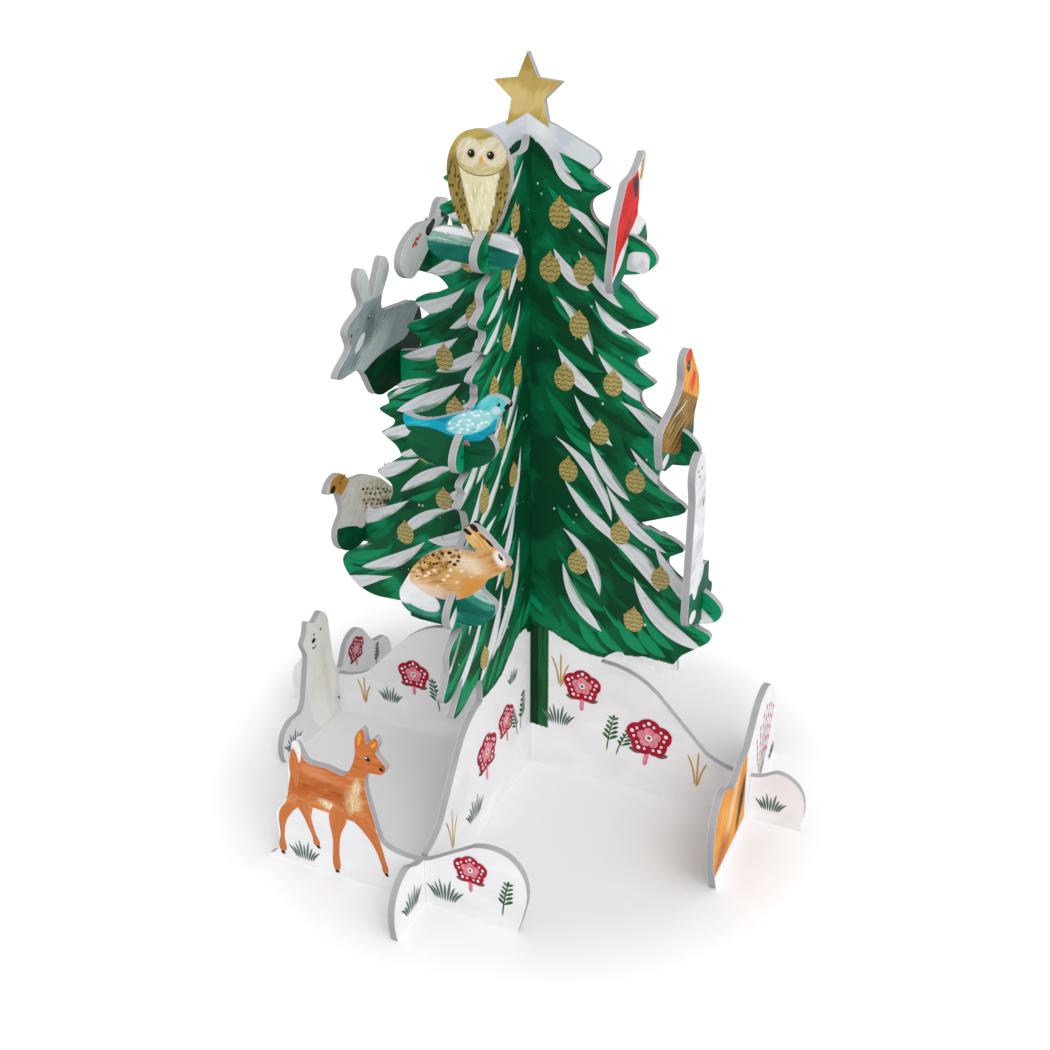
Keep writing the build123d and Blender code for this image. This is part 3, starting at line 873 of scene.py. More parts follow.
def starred_marks(side):
    # snow on the tip of the red bird's bough
    side.patch([(40.4, 233.0), (44, 233.9), (47.4, 233.2), (48.0, 229.8), (47.0, 226.6), (43, 226.6),
                (39.4, 227.6), (39.6, 230.4)], "snow_bank", 3)
    plant(side, (blossom, (26, 46), 16, 7), (blossom, (57, 28), 19, 8, 0.2), (straw_stems, (16, 43), 17),
          (straw_stems, (79, 9), 18), (grass_tuft, (15, 23), 13), (leafy_sprig, (38, 16), 17),
          (leafy_sprig, (42.5, 15), 15, 0.4), (grass_tuft, (111, 6), 11),
          (blossom, (-32, 42), 18.5, 7, -0.2), (blossom, (-57, 31), 15, 6), (grass_tuft, (-17, 26), 12),
          (leafy_sprig, (-44, 14), 15, -0.2), (grass_tuft, (-70, 12), 11), (straw_stems, (-84, 8), 15),
          (grass_tuft, (-112, 5), 13))


def crossing_marks(side):
    plant(side, (blossom, (-46, 34), 17, 8), (blossom, (-27, 38), 14, 7, -0.2), (straw_stems, (-78, 8), 20),
          (grass_tuft, (-58, 8), 14), (grass_tuft, (-20, 52), 9), (leafy_sprig, (-12, 24), 16),
          (leafy_sprig, (-15.5, 23), 14, -0.3), (grass_tuft, (-112, 5), 13), (blossom, (30, 40), 15, 7),
          (leafy_sprig, (15, 24), 15), (grass_tuft, (44, 14), 12), (straw_stems, (74, 8), 18),
          (blossom, (58, 28), 13, 6), (grass_tuft, (111, 5), 12))


# steep: how the snow falls away, in degrees; slender: how wide its strokes are
for sheet, seed, hill_line, own_marks, halves in (
        (starred, 11, STARRED_HILL, starred_marks, {-1: (22, 1.25), 1: (36, 1.15)}),
        (crossing, 47, CROSSING_HILL, crossing_marks, {-1: (36, 1.0), 1: (36, 1.0)})):
    for front in (True, False):
        side = Side(sheet, front)
        for hand, (steep, slender) in halves.items():
            number = seed + 2 * front + (hand > 0) * 5
            needle_sweeps(side, hand, number + 300, hill_line)
            needle_marks(side, hand, number + 100)
            snow_strokes(side, hand, 11, number, steep, slender)
            hang_baubles(side, hand, number + 200)
        own_marks(side)
        side.finish()


# Pieces on the boughs

def both_sides(sheet, marks):
    """Puts the same marks on the front and the back of a card."""
    for front in (True, False):
        side = Side(sheet, front)
        marks(side)
        side.finish()


def fir_bough(sheet, mask, turn=0.0, dark=DEEP_FIR, mid=ink(0, 84, 52), light=FIR):
    sheet.lay(sheet.brush(dark, mid, light, turn, 18, 3), mask)


def snowy(sheet, mask=None):
    sheet.lay(sheet.brush(SNOW_SHADE, SNOW, SNOW_LIGHT, 6, 26, 6), mask)


# Owl on the top front bough: brown back, pale face and breast
owl = Sheet("owl_piece")
snowy(owl)
fir_bough(owl, owl.either(owl.within(owl.below((-12, 2.4), -3, 0.4, 1.6), owl.left_of(-2.5)),
                          owl.within(owl.below((8, 0.6), -12, 0.3, 0.8), owl.right_of(-0.5))), 0,
          ink(0, 84, 70), ink(8, 104, 88), ink(44, 134, 112))
owl.paint(owl.within(owl.above((-12, 1.2), -3, 0.4, 1.0), owl.below((-12, 4.4), -6, 0.4, 1.6),
                     owl.left_of(-3.5)), (60, 132, 112), (132, 172, 158), (196, 208, 206), -4, 7,
          0.8, pooled=0.25)
owl_body = owl.either(owl.within(owl.above((0, 8.3), 0, 0.2, 0.0), owl.left_of(-1)),
                      owl.within(owl.above((0, 6.2), 0, 0.2, 0.0), owl.right_of(-1)),
                      owl.within(owl.above((-6.9, 8.2), -58.6, 0.2, 0.3),
                                 owl.above((4.2, 8.2), 66, 0.2, 0.3), owl.above((0, 0.5))))
owl.paint(owl_body, (98, 84, 36), (146, 128, 66), (178, 160, 98), 88, 5, 1.0)
owl.lay(ink(74, 60, 24), owl.within(owl_body, owl.below((0, 27)), owl.dabs(1.5, 0.27, 78, 2.2)))
owl.paint(owl.above((0, 31), 0, 2.5, 2), (168, 146, 72), (188, 166, 90), (200, 180, 112), 10, 10, 3)
breast = owl.within(owl.above((-8.0, 23), -77, 0.5, 1.2), owl.above((5.4, 23), 76.8, 0.5, 1.2),
                    owl.below((0, 28)), owl.above((0, 3.6)))
owl.paint(breast, (208, 198, 146), (226, 219, 176), (238, 233, 206), 88, 8, 1.2)
owl.lay(ink(112, 92, 44), owl.oval((-0.5, 30.45), (9.35, 5.75), 3, 0.02, 0.02))
owl.paint(owl.oval((-0.5, 30.75), (9.3, 5.7), 3, 0.02, 0.02), (186, 168, 108), (202, 188, 136),
          (220, 208, 168), 12, 7, 1.6)
for lobe, turn in (((-5.0, 32.4), 32), ((3.9, 32.9), -30)):
    owl.paint(owl.oval(lobe, (4.8, 4.7), turn, 0.12, 0.14), (202, 188, 144), (220, 210, 182),
              (238, 232, 218), 60, 5, 1.2)
owl.finish()


def owl_marks(side):
    for u, h in ((-4.3, 32.0), (2.9, 31.7)):
        side.dot((u, h), (1.85, 1.7), "khaki")
        side.dot((u, h), (1.3, 1.35), "black", layer=2)
        side.dot((u - 0.4, h + 0.45), (0.26, 0.26), "chalk", layer=3)
    side.stroke((-0.5, 31.3), (-0.6, 29.0), 1.3, "orange", shape="petal", layer=2)
    for row in range(5):
        for place in range(4 - row // 2):
            u = -6.2 + 2.7 * place + 1.0 * (row % 2) + 0.5 * row
            h = 22.5 - 3.5 * row + 0.7 * math.sin(3 * place + row)
            side.stroke((u, h), (u + 0.5, h - 3.8), 0.75, "pearl", bow=0.1 * (place - 1))
    for u in (-3.3, 1.2):
        for toe in (-0.8, 0, 0.8):
            side.stroke((u + toe, 6.6), (u + toe, 6.0), 0.35, "black", shape="line")


both_sides(owl, owl_marks)

# Blue bird on the middle front bough
blue = Sheet("blue_bird_piece")
fir_bough(blue, None)
blue_body = blue.over_profile(((-23, 6.2), (-16, 7.6), (-10, 7.4), (-4, 5.9), (2, 4.9), (7, 5.3), (11, 8.0),
                               (15, 12), (20, 18)), soft=0.2, ragged=0.3)
blue.paint(blue_body, (0, 132, 160), (0, 158, 182), (40, 186, 196), 12, 14, 2.2)
blue.paint(blue.within(blue_body, blue.oval((14, 19.5), (7.0, 4.6), 30, 0.14, 0.2)), (60, 178, 184),
           (96, 200, 202), (140, 216, 214), 40, 8, 2)
blue.paint(blue.oval((4.0, 11.8), (9.6, 4.0), 22, 0.08, 0.3), (104, 196, 202), (158, 214, 218),
           (214, 232, 236), 16, 5, 1.0)
blue.lay(ink(232, 240, 243), blue.within(blue.oval((4.0, 11.8), (9.2, 3.7), 22, 0.1, 0.3),
                                         blue.dabs(1.7, 0.32, 20, 1.6)))
blue.lay(ink(196, 214, 222), blue.oval((14.2, 17.6), (1.9, 1.4), 20, 0.3, 0.3))
blue.finish()


def blue_marks(side):
    side.dot((15.2, 19.9), (0.62, 0.7), "black")
    side.dot((15.0, 20.1), (0.18, 0.18), "chalk", layer=2)
    side.stroke((18.9, 21.0), (17.4, 18.6), 1.5, "black", bow=0.3, shape="petal")
    for toe in (-1.1, 0.0, 1.1):
        side.stroke((2.6 + 0.5 * toe, 5.0), (2.6 + toe, 3.0), 0.45, "rose", shape="line")


both_sides(blue, blue_marks)

# Brown hare on the lowest front bough, snow behind it
hare = Sheet("brown_hare_piece")
fir_bough(hare, None, 0, TEAL_FIR, ink(10, 104, 88), ink(60, 158, 130))
hare.paint(hare.either(hare.oval((-13, -2.4), (7.5, 2.6), -6, 0.2, 0.4),
                       hare.oval((11.0, 5.6), (6.4, 2.2), -14, 0.2, 0.4)), (40, 128, 108), (70, 156, 132),
           (128, 186, 168), -8, 10, 2, pooled=0.7)
snowy(hare, hare.either(hare.oval((-19.5, 7), (6.5, 8.5), 0, 0.05, 0.1),
                        hare.oval((-14, 2.2), (9, 4.6), -18, 0.05, 0.1)))
hare.paint(hare.oval((12.6, 8.6), (5.8, 2.2), -20, 0.12, 0.4), (120, 168, 156), (180, 202, 196),
           (226, 230, 230), -16, 8, 0.9)
hare_body = hare.within(hare.over_profile(((-23, 8.5), (-16.4, 7.6), (-13.4, 5.4), (-8, 3.9), (-2, 3.7),
                                           (4, 5.6), (9, 9.0), (12.5, 12.5), (16, 16.5), (24, 18)),
                                          soft=0.2, ragged=0.3), hare.right_of(-17.5, 0.3, 1.2))
hare.paint(hare_body, (180, 128, 64), (206, 160, 100), (226, 192, 144), 22, 9, 1.4, pooled=0.4)
hare.paint(hare.within(hare_body, hare.oval((-6.5, 5.2), (13.0, 3.2), -4, 0.45, 0.3)), (214, 178, 142),
           (224, 196, 170), (232, 210, 192), 4, 14, 3, pooled=0.7)
hare.paint(hare.within(hare_body, hare.oval((8.6, 12.6), (3.4, 8.0), -38, 0.45, 0.3)), (194, 124, 44),
           (212, 146, 66), (226, 170, 96), 48, 9, 2.4, pooled=0.7)
hare.paint(hare.within(hare_body, hare.oval((-19, 12.5), (2.6, 8.5), -26, 0.4, 0.3)), (204, 128, 62),
           (216, 150, 86), (226, 172, 116), 60, 9, 2.0, pooled=0.7)
coat = hare.within(hare_body, hare.oval((-6.8, 19.6), (13.2, 6.2), 27, 0.22, 0.3))
hare.paint(coat, (160, 112, 44), (202, 158, 92), (232, 210, 176), 26, 5, 0.9, pooled=0.3)
hare.paint(hare.within(hare_body, hare.oval((5.6, 20.2), (7.4, 3.4), -8, 0.75, 0.7)), (214, 182, 138),
           (228, 206, 172), (243, 233, 218), 14, 6, 1.0, pooled=0.3)
hare.lay(ink(150, 108, 44), hare.within(coat, hare.dabs(2.3, 0.36, 18, 1.3)))
hare.lay(ink(240, 214, 190), hare.within(hare_body, hare.oval((-3.5, 13.0), (13.5, 3.6), 20, 0.2, 0.3),
                                         hare.dabs(3.1, 0.22, 26, 1.6)))
hare.lay(ink(243, 236, 226), hare.oval((19.3, 25.0), (2.1, 3.4), 28, 0.5, 0.3))
hare.paint(hare.within(hare.above((20.6, 26.6), -58, 0.3, 0.4), hare.below((0, 31)), hare.right_of(18.6)),
           (214, 146, 62), (226, 166, 88), (236, 190, 128), -40, 5, 1.2)
hare.paint(hare.within(hare.above((0, 27.8)), hare.oval((11.6, 32), (12, 5.4), -38, 0.05, 0.05)),
           (206, 156, 84), (224, 182, 116), (240, 216, 170), -40, 6, 1.0)
hare.finish()


def hare_marks(side):
    side.stroke((19.0, 26.9), (20.7, 24.4), 1.25, "black", bow=-0.25, layer=2)
    side.dot((19.6, 26.1), (0.22, 0.22), "chalk", layer=3)
    side.stroke((22.8, 22.8), (21.7, 22.2), 0.6, "brown")
    side.patch([(9.2, 34.0), (7.8, 35.2), (7.9, 36.2), (9.4, 36.4), (10.9, 34.9), (10.9, 33.9)], "black")
    side.patch([(7.4, 31.9), (5.8, 32.8), (5.2, 33.6), (5.8, 34.2), (7.4, 33.6), (8.4, 32.4)], "black")
    side.stroke((11.2, 33.2), (14.0, 31.3), 1.2, "brown")
    side.stroke((13.0, 32.0), (16.9, 28.9), 1.15, "black", bow=0.15, shape="petal")
    # flecks of the coat
    for u, h, wide in ((-0.6, 26.2, 1.0), (3.2, 25.2, 0.75), (-3.6, 25.4, 0.8), (-7.4, 23.9, 0.85),
                       (-11.0, 20.4, 0.6), (-8.6, 20.6, 0.5), (-7.2, 20.4, 0.7), (-5.8, 20.8, 0.5),
                       (-12.0, 17.0, 0.7), (-15.0, 19.4, 0.7), (-4.8, 23.0, 0.55), (-0.4, 22.6, 0.7),
                       (1.2, 21.8, 0.8), (2.6, 23.6, 0.55), (-2.0, 27.0, 0.7), (-5.6, 26.2, 0.65),
                       (-13.2, 22.2, 0.7), (-10.4, 24.0, 0.6), (-2.2, 20.0, 0.45), (-14.4, 13.8, 0.5)):
        if side.on_card(u, h - 2.0):
            side.dot((u, h - 2.9), (1.0 * wide, 0.6 * wide), "black", turn=18, layer=2)


both_sides(hare, hare_marks)

# White bird on the top left bough
white = Sheet("white_bird_piece")
white.paint(None, (226, 226, 232), (243, 243, 247), (252, 252, 254), 60, 16, 3)
fir_bough(white, white.either(white.below((-6, -0.6), 36, 0.3, 0.8),
                              white.within(white.below((6, -1.5), -4, 0.4, 1.0), white.right_of(-2))), 30)
white.paint(white.oval((8.5, 6.4), (5.5, 3.4), 14, 0.1, 0.2), (70, 140, 110), (110, 166, 140),
            (92, 172, 140), 10, 10, 1.6)
white.finish()


def white_marks(side):
    side.patch([(-4.8, 8.6), (-1.0, 11.6), (3.0, 12.2), (1.4, 9.4), (-3.0, 7.0)], "black")
    side.patch([(8.4, 12.6), (11.0, 16.2), (14.6, 15.6), (12.4, 12.6)], "black")
    for u, h in ((-9.2, 8.3), (-10.8, 7.4), (-12.4, 7.4), (-13.6, 6.2), (-12.6, 5.6), (-14.8, 5.4)):
        side.dot((u, h), (0.9, 0.65), "vermilion", 30)


both_sides(white, white_marks)

# Grey hare on the middle left bough
grey = Sheet("grey_hare_piece")
fir_bough(grey, None, 10, ink(0, 40, 18), ink(0, 54, 28), ink(0, 78, 46))
grey_body = grey.over_profile(((-50, 4), (-36, 5), (-29, 6.8), (-22, 9.0), (-14, 10.2), (-6, 10.8),
                               (2, 11.4), (8, 14.5), (14, 20), (20, 24)), soft=0.25, ragged=0.4)
grey.paint(grey_body, (138, 152, 158), (160, 174, 179), (188, 199, 203), 34, 10, 1.5, pooled=0.4)
grey.paint(grey.above((0, 33), 0, 1.0, 1.0), (196, 208, 209), (216, 225, 225), (232, 239, 238), 70, 10, 1.6)
grey.paint(grey.within(grey_body, grey.oval((-24, 12.6), (17, 5.0), 24, 0.45, 0.3)), (172, 186, 190),
           (194, 206, 209), (214, 223, 224), 36, 12, 1.6)
grey.paint(grey.oval((-24.5, 22.6), (3.6, 7.0), -34, 0.5, 0.3), (112, 126, 134), (128, 142, 149),
           (146, 160, 166), 40, 7, 1.4)
grey.lay(ink(203, 213, 216), grey.within(grey_body, grey.oval((-16, 18.5), (10, 5.6), 24, 0.5, 0.4),
                                         grey.dabs(2.1, 0.2, 0, 1.1)))
grey.lay(ink(243, 244, 245), grey.oval((-31.5, 18.6), (4.8, 1.7), 38, 0.12, 0.3))
grey.finish()


def grey_marks(side):
    side.dot((-24.4, 26.8), (0.6, 0.8), "black")
    side.dot((-24.0, 27.2), (0.34, 0.44), "chalk", layer=2)
    side.dot((-37.4, 22.8), (0.6, 0.5), "black")
    for low, high in (((-40.5, 9.6), (-30.5, 16.6)), ((-38.6, 9.4), (-31.5, 14.0))):
        side.stroke(low, high, 0.45, "slate", bow=0.4, trimmed=True)
    for place in range(4):
        side.stroke((-14 + 5.5 * place, 22.5 + 1.5 * place), (-8.5 + 5.5 * place, 25.6 + 1.5 * place), 0.4,
                    "slate", bow=0.5, trimmed=True)


both_sides(grey, grey_marks)

# Partridge on the lowest left bough
partridge = Sheet("partridge_piece")
fir_bough(partridge, None, 0, ink(0, 66, 40), ink(0, 84, 54), ink(0, 104, 70))
plump = partridge.over_profile(((-31, 10), (-24, 7.8), (-18, 6.2), (-10, 3.2), (-3, 0.2), (-1.5, 2.2),
                                (6, 0.2), (13, -2.4), (20, -3.2), (32, -8)), soft=0.2, ragged=0.3)
partridge.paint(plump, (220, 210, 198), (238, 232, 226), (250, 247, 244), 38, 7, 1.6, pooled=0.4)
wing = partridge.oval((8.4, 10.0), (13.0, 7.6), -24, 0.2, 0.2)
partridge.paint(partridge.within(plump, wing), (186, 166, 130), (212, 198, 170),
                (234, 226, 208), -20, 5, 1.3)
partridge.lay(ink(246, 243, 236), partridge.within(plump, wing, partridge.dabs(2.4, 0.34, 30, 1.5)))
head = partridge.oval((-20.6, 27.3), (7.8, 5.4), 10, 0.06, 0.08)
partridge.paint(head, (208, 146, 58), (224, 166, 82), (234, 186, 110), 30, 6, 1.8, pooled=0.6)
fir_bough(partridge, partridge.within(partridge.below((26, -0.8), -32, 0.3, 0.6), partridge.right_of(14)))
partridge.finish()


def partridge_marks(side):
    side.dot((-20.1, 27.3), (0.55, 0.7), "black")
    side.stroke((-19.6, 28.4), (-15.4, 29.6), 0.7, "brown", shape="line")
    side.patch([(-27.8, 26.2), (-24.6, 28.0), (-23.8, 26.6), (-25.8, 25.0)], "black")
    # barred feathers of the wing, in slanting rows
    for row in range(6):
        for place in range(6):
            u = -2.6 + 4.1 * place + 1.9 * (row % 2) + 0.4 * math.sin(5 * place + row)
            h = 17.6 - 2.6 * row - 0.38 * (place * 4.1) + 0.35 * math.sin(3 * row + place)
            if ((u - 8.4) / 12.6) ** 2 + ((h - 10.0 + 0.42 * (u - 8.4)) / 7.2) ** 2 < 1:
                paint = ("black", "brown", "tawny")[(place + 2 * row) % 3]
                side.stroke((u - 1.1, h + 0.35), (u + 1.2, h - 0.25), 1.25, paint)
    bauble(side, (0.5, -3.0), 5.5)


both_sides(partridge, partridge_marks)

# Red bird on the top right bough, with an ear of straw
red = Sheet("red_bird_piece")
fir_bough(red, None, 60, ink(0, 84, 54), ink(0, 110, 72), ink(24, 140, 100))
snowy(red, red.over_profile(((-20, -10), (-14.5, -6.2), (-9, -3.4), (-6.3, -1.0), (-1.3, 3.4), (1.5, 4.4),
                             (6, 4.6), (12, 5.0), (16, 6.8), (20.3, 8.6), (26, 11)), soft=0.2, ragged=0.6))
red_body = red.within(red.over_profile(((-20, -11), (-16.2, -5.9), (-10.7, 0.5), (-4, 4.6), (1, 7.5),
                                        (5, 9.9), (8.5, 13), (10, 20)), soft=0.2, ragged=0.4),
                      red.oval((-4, 8.5), (13.6, 40), 0, 0.02, 0.0))
red.paint(red_body, (170, 20, 24), (214, 32, 34), (234, 62, 54), 56, 12, 1.7)
red.lay(ink(240, 239, 240), red.above((7.6, 26.6), -62, 0.2, 0.2))
red.lay(ink(0, 110, 112), red.oval((-13.6, -9.2), (2.6, 2.6), 0, 0.15, 0.2))
red.finish()


def red_marks(side):
    side.patch([(2.2, 24.4), (4.8, 26.0), (7.0, 25.2), (7.2, 20.6), (5.6, 18.6), (3.6, 20.8)], "black")
    side.stroke((-10.5, 3.0), (1.5, 14), 0.8, "brown", bow=-0.8)
    side.stroke((10.4, 6.0), (9.8, 25.0), 0.5, "straw", bow=1.2, shape="line", layer=2, trimmed=True)
    for grain in range(5):
        at = (10.1 + 0.55 * grain, 24.2 + 1.7 * grain)
        for hand in (-1, 1):
            side.stroke(at, (at[0] + 0.4 + hand * 1.2, at[1] + 2.3), 0.85, "straw", bow=-hand * 0.15,
                        shape="petal", layer=3, trimmed=True)


both_sides(red, red_marks)

# Gold bird on the middle right bough, its back streaked along
gold = Sheet("gold_bird_piece")
fir_bough(gold, None, 50, ink(0, 74, 50), ink(0, 100, 66), ink(30, 136, 96))
snowy(gold, gold.either(gold.oval((-21, 1.2), (4.6, 2.0), 12, 0.1, 0.3),
                        gold.oval((17.2, 4.2), (2.6, 3.6), 10, 0.1, 0.2)))
gold_body = gold.over_profile(((-28, 8), (-22, 5.2), (-14, 2.0), (-4.2, -1.0), (2, 0.4), (7, 2.3), (12, 5),
                               (16.7, 8.2), (19, 11.5), (24, 13)), soft=0.2, ragged=0.5)
gold.paint(gold_body, (78, 56, 20), (142, 106, 46), (188, 140, 66), 13, 12, 1.0, pooled=0.25)
gold.paint(gold.within(gold_body, gold.oval((-8, 13), (13, 4.2), 12, 0.5, 0.5)), (104, 88, 34),
           (150, 120, 54), (192, 160, 88), 13, 10, 0.8, pooled=0.25)
gold.paint(gold.above((4, 19.8), -24, 0.4, 1.6), (204, 118, 34), (226, 150, 52), (240, 182, 84), 60, 9, 2.0)
gold.paint(gold.either(gold.oval((10.0, 22.8), (3.0, 4.2), -20, 0.2, 0.2),
                       gold.oval((2.4, 34.8), (4.4, 3.0), -30, 0.1, 0.2),
                       gold.oval((21.4, 15.4), (2.6, 4.6), -10, 0.12, 0.2)), (196, 46, 28), (220, 70, 40),
           (234, 104, 60), 50, 6, 1.6)
gold.finish()


def gold_marks(side):
    side.patch([(0.4, 31.8), (2.6, 33.0), (4.6, 30.6), (3.8, 28.4), (1.6, 29.2)], "black")
    side.dot((2.2, 31.0), (0.3, 0.3), "chalk", layer=2)
    for place in range(12):
        start = (-25.6 + 1.3 * place, 14.6 - 1.3 * place + 0.3 * math.sin(3 * place))
        paint = ("black", "olive", "straw", "black", "brown")[place % 5]
        side.stroke(start, (start[0] + 20 + 4 * math.sin(2 * place), start[1] + 5.0),
                    0.5 + 0.12 * (place % 3), paint, bow=0.5, trimmed=True)
    side.stroke((-12.4, 15.6), (4.0, 17.4), 0.6, "chalk", bow=-0.3, layer=2)


both_sides(gold, gold_marks)

# White stoat on the lowest right bough
stoat = Sheet("stoat_piece")
snowy(stoat)
stoat_snow = stoat.over_profile(((-26, 13), (-19, 14.6), (-17, 12.4), (-14.4, 9.4), (-12, 9.8),
                                 (-9.6, 12.6), (-6, 14.2), (-3.6, 16.6), (-1.6, 22), (8, 24)),
                                soft=0.2, ragged=1.6)
fir_bough(stoat, stoat.within(stoat.wires.math("SUBTRACT", 1.0, stoat_snow), stoat.below((0, 24))), 60,
          ink(0, 70, 46), ink(0, 90, 58), ink(20, 118, 80))
snowy(stoat, stoat.oval((-15.2, 2.2), (4.6, 2.6), -12, 0.1, 0.3))
stoat.finish()


def stoat_marks(side):
    side.dot((-16.0, 65.0), (0.5, 0.7), "black")
    side.dot((-20.2, 65.0), (0.5, 0.7), "black")
    side.stroke((-19.4, 62.6), (-17.2, 62.6), 0.8, "black", bow=-0.5)
    side.stroke((-10.4, 51.5), (-10.2, 47.0), 1.2, "leaf")


both_sides(stoat, stoat_marks)

# Plain snowy boughs of the rear half board
for bough, half in (("upper_snow_bough", 17.0), ("middle_snow_bough", 21.0), ("lower_snow_bough", 23.0)):
    piece = Sheet(bough)
    fir_bough(piece, None, 8, DEEP_FIR, FIR, BRIGHT_FIR)
    settled = ((-half - 1, -1.5), (-0.6 * half, 4.0), (-0.1 * half, 4.6), (0.3 * half, 2.6),
               (0.7 * half, 3.4), (half + 1, 0.5))
    snowy(piece, piece.over_profile(settled, soft=0.3, ragged=2.4))
    piece.finish()

    def bough_marks(side):
        for place in range(7):
            u = (-0.9 + 0.27 * place) * half
            wide, fall = 1.8 + 0.8 * math.sin(2.3 * place), 4.6 + 1.2 * math.cos(1.7 * place)
            paint = ("mid_needles", "snow_stroke", "bright_needles")[place % 3]
            side.sweep((u, 2.4), (u + 0.22 * half, 2.4 - fall), wide, paint, bow=-0.6)

    both_sides(piece, bough_marks)


# Base pieces

# Deer across the front foot
deer = Sheet("deer_base_piece")
fawn_coat = deer.within(deer.above((-42, 29.8), -3, 0.2, 0.4), deer.left_of(-2),
                        deer.below((-59.4, 30), 76, 0.2, 0.3))
deer.paint(fawn_coat, (182, 94, 40), (202, 114, 56), (218, 140, 84), 8, 10, 2.0, pooled=0.45)
deer.paint(deer.within(fawn_coat, deer.oval((-43, 47.2), (10.5, 2.6), -6, 0.4, 0.3)), (208, 124, 74),
           (216, 138, 92), (226, 158, 116), -6, 12, 3, pooled=0.7)
deer.paint(deer.within(fawn_coat, deer.oval((-44.5, 38.8), (12, 4.2), 4, 0.6, 0.6)), (158, 76, 28),
           (184, 96, 42), (206, 120, 62), 4, 7, 1.2, pooled=0.3)
chest = deer.within(fawn_coat, deer.either(deer.oval((-28.4, 38.0), (3.4, 5.4), -8, 0.6, 0.4),
                                           deer.oval((-26.8, 44.5), (1.8, 4.6), -14, 0.6, 0.4),
                                           deer.oval((-39.4, 33.4), (4.4, 1.9), -18, 0.6, 0.4)))
deer.paint(chest, (214, 160, 100), (232, 204, 158), (244, 232, 208), 80, 4, 0.9)
deer.lay(ink(132, 84, 46), deer.within(chest, deer.dabs(1.0, 0.15, 80, 1.8)))
deer.finish()


def deer_marks(side):
    hind_leg = ((-59.8, 28.6), (-61.8, 26.0), (-63.4, 22.4), (-63.8, 12), (-64.3, 3.4), (-62.7, 3.2),
                (-61.9, 12), (-60.2, 19.6), (-56.5, 25.5), (-52.0, 31.6), (-54, 34), (-57.2, 33.4))
    far_hind_leg = ((-54.0, 32), (-51.4, 23.4), (-48.6, 16), (-47.2, 11.2), (-45.6, 11.6), (-47.0, 18),
                    (-48.2, 24.6), (-48.0, 32))
    fore_leg = ((-38.8, 32), (-39.0, 17), (-38.9, 2.2), (-37.4, 2.2), (-36.4, 12), (-35.4, 19.5),
                (-32.0, 32), (-35, 35))
    lifted_fore_leg = ((-29.4, 31.5), (-25.4, 26.5), (-20.6, 20.4), (-17.4, 12), (-16.2, 8.2), (-14.9, 8.6),
                       (-15.6, 15), (-17.4, 23), (-20.2, 31), (-22.6, 35))
    for leg in (hind_leg, far_hind_leg, fore_leg, lifted_fore_leg):
        side.patch(leg, "fawn")
    for u, h, turn in ((-63.4, 2.7, -20), (-46.0, 11.2, -30), (-38.0, 1.8, 0), (-15.3, 7.9, -40)):
        side.dot((u, h), (1.0, 0.7), "black", turn, layer=2)
    # white tail over the snow, the coat drawn up into it
    tail = ((-55.0, 47.8), (-54.6, 55), (-53.6, 59.2), (-51.6, 60.0), (-50.2, 56), (-50.6, 52.4),
            (-51.6, 49.6))
    side.patch(tail, "chalk")
    side.stroke((-54.0, 37.5), (-53.6, 56.4), 4.8, "fawn", layer=2)
    side.dot((-20.7, 60.8), (1.35, 0.95), "black", turn=-38, layer=2)
    side.dot((-21.2, 61.2), (0.5, 0.42), "chalk", turn=-30, layer=3)
    side.dot((-14.9, 57.6), (1.0, 0.7), "black", turn=-20, layer=2)
    side.stroke((-24.2, 65.4), (-23.0, 72.0), 1.5, "orange", shape="petal", layer=2)
    side.stroke((-19.0, 66.0), (-16.0, 69.6), 1.1, "orange", shape="petal", layer=2)
    plant(side, (grass_tuft, (-53, 2), 12), (grass_tuft, (10, 4), 13), (blossom, (21, 23), 13, 6),
          (leafy_sprig, (34, 6), 15))


both_sides(deer, deer_marks)

# White bear across the left foot
bear = Sheet("bear_base_piece")
bear_coat = bear.either(bear.within(bear.above((-16, 19), 0, 2.5, 3.0),
                                    bear.oval((-15, 40), (13.2, 40), 0, 0.05, 0.05)),
                        bear.oval((-15, 19), (10.4, 19), 0, 0.1, 0.2))
bear.paint(bear_coat, (246, 244, 234), (252, 251, 244), (255, 254, 250), 84, 12, 1.8, pooled=0.45)
# A darker band down the coat: painted shade.
bear.paint(bear.within(bear_coat, bear.oval((-10.5, 20), (2.6, 22), 6, 0.7, 0.2)), (232, 229, 214),
           (242, 240, 229), (249, 247, 240), 84, 12, 1.8, pooled=0.45)
bear.finish()


def bear_marks(side):
    side.dot((-18.9, 48.4), (1.6, 1.15), "black")
    side.stroke((-20.4, 45.4), (-17.2, 45.4), 0.6, "black", bow=-0.8, shape="line")
    for u in (-18.2, -12.6):
        side.dot((u, 51.2), (0.6, 0.6), "black")
    plant(side, (blossom, (15.5, 25.5), 13, 5), (grass_tuft, (-41, 3), 12), (leafy_sprig, (33, 5), 12),
          (grass_tuft, (3, 4), 11))


both_sides(bear, bear_marks)

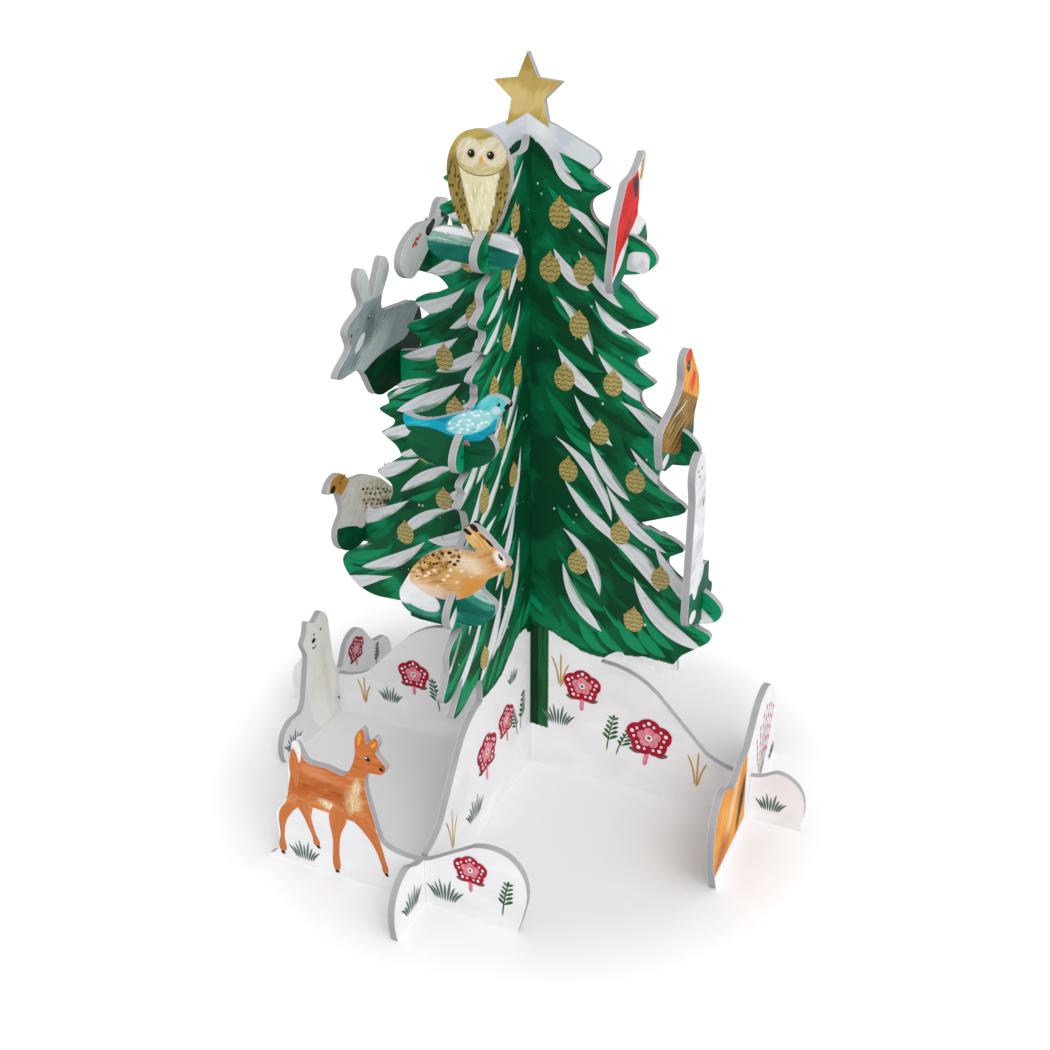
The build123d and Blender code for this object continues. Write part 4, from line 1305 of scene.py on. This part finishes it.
# Sleeping fox across the right foot, with a bush of berries
fox = Sheet("fox_base_piece")
fox_coat = fox.within(fox.above((-30, 6.5), -6, 0.3, 1.2), fox.below((-9, 20), -84, 0.3, 1.4))
fox.paint(fox_coat, (206, 126, 34), (226, 148, 46), (238, 172, 78), 64, 14, 2.0, pooled=0.5)
fox.paint(fox.within(fox_coat, fox.oval((-31, 27), (4.6, 13), -32, 0.6, 0.4)), (230, 176, 110),
          (238, 196, 140), (244, 212, 168), 62, 12, 1.6)
fox.paint(fox.within(fox_coat, fox.oval((-42, 12), (9, 7), 0, 0.6, 0.5)), (150, 78, 20), (196, 112, 36),
          (228, 156, 74), 66, 6, 1.0)
fox.paint(fox.within(fox_coat, fox.oval((-16.5, 18), (4.2, 11.5), -20, 0.3, 0.5)), (34, 24, 10),
          (66, 46, 18), (126, 84, 32), 66, 9, 1.2)
fox.finish()


def fox_marks(side):
    for stem in range(7):
        lean = (stem - 3) / 3
        root, tip = (21 + lean * 1.6, 7), (21 + lean * 15, 44 - 9 * abs(lean) ** 1.6)
        side.stroke(root, tip, 0.5, "twig", bow=-lean * 1.4, shape="line")
        for berry in range(5):
            share = 0.34 + 0.15 * berry
            u = root[0] + (tip[0] - root[0]) * share + lean * 1.4 * 4 * share * (1 - share)
            h = root[1] + (tip[1] - root[1]) * share
            side.dot((u, h), (0.75, 1.15), "vermilion", layer=2)
    grass_tuft(side, (41, 3), 10)


both_sides(fox, fox_marks)

# Low hill across the rear foot
back = Sheet("back_base_piece")
back.finish()


def back_marks(side):
    plant(side, (blossom, (-36, 19), 12, 6), (grass_tuft, (-48, 5), 12), (leafy_sprig, (-22, 6), 13),
          (grass_tuft, (10, 4), 11), (blossom, (24, 15), 10, 4))


both_sides(back, back_marks)

for pattern in (broad_mark, fine_mark, round_mark):
    bpy.data.objects.remove(pattern)


# Floor, light and camera

clear_selection()
bpy.ops.mesh.primitive_grid_add(x_subdivisions=8, y_subdivisions=8, size=60.0)
floor = bpy.context.object
floor.name = "floor"
floor_paint, wires, shader = new_finish("floor_paint")
spot = wires.node("TexCoord").outputs["Object"]
mottle = wires.noise(spot, 3.0, 2.0, 0.5)
wires.feed(shader.inputs["Base Color"], wires.over(ink(228, 228, 229), ink(231, 231, 232), mottle))
shader.inputs["Roughness"].default_value = 0.9
shader.inputs["Specular IOR Level"].default_value = 0.1
shader.inputs["Emission Color"].default_value = (1, 1, 1, 1)
# Painted shade round the tree's foot: within about 0.1 m of it the floor keeps its grey, and further out a
# glow seen only by the camera paints it white.
seen = wires.node("LightPath").outputs["Is Camera Ray"]
away = wires.rise(wires.length(spot), 0.1, 0.168)
wires.feed(shader.inputs["Emission Strength"], wires.times(seen, wires.times(away, 0.3)))
floor.data.materials.append(floor_paint)

world = bpy.data.worlds.new("studio")
world.use_nodes = True
bpy.context.scene.world = world
wires = Wiring(world.node_tree)
rays = wires.node("LightPath").outputs
shown = wires.math("MAXIMUM", rays["Is Camera Ray"], rays["Is Glossy Ray"])
background = world.node_tree.nodes["Background"]
background.inputs["Color"].default_value = (1, 1, 1, 1)
wires.feed(background.inputs["Strength"], wires.between(0.72, 1.0, shown))


def lamp(name, place, aim, strength, spread):
    """Broad soft lamp far off, so that its light is the same all over the floor."""
    light = bpy.data.lights.new(name, "SUN")
    light.energy, light.angle = strength, math.radians(spread)
    made = bpy.data.objects.new(name, light)
    bpy.context.scene.collection.objects.link(made)
    made.location = place
    made.rotation_euler = (Vector(aim) - Vector(place)).to_track_quat("-Z", "Y").to_euler()


lamp("key", (0.85, -0.95, 1.1), (0, 0, 0.1), 0.68, 34)
lamp("side", (1.3, -0.28, 0.85), (0, 0, 0.1), 0.35, 50)
lamp("top", (0.6, -0.35, 1.7), (0, 0, 0.1), 0.7, 40)

camera = bpy.data.cameras.new("camera")
camera.sensor_width = SENSOR
camera.lens = FOCAL_PIXELS / PHOTO_PIXELS * SENSOR
viewer = bpy.data.objects.new("camera", camera)
bpy.context.scene.collection.objects.link(viewer)
viewer.location = CAMERA_PLACE
viewer.rotation_euler = (math.radians(90 - CAMERA_DROP), 0, math.radians(CAMERA_TURN))
bpy.context.scene.camera = viewer
bpy.context.scene.view_settings.view_transform = "Standard"
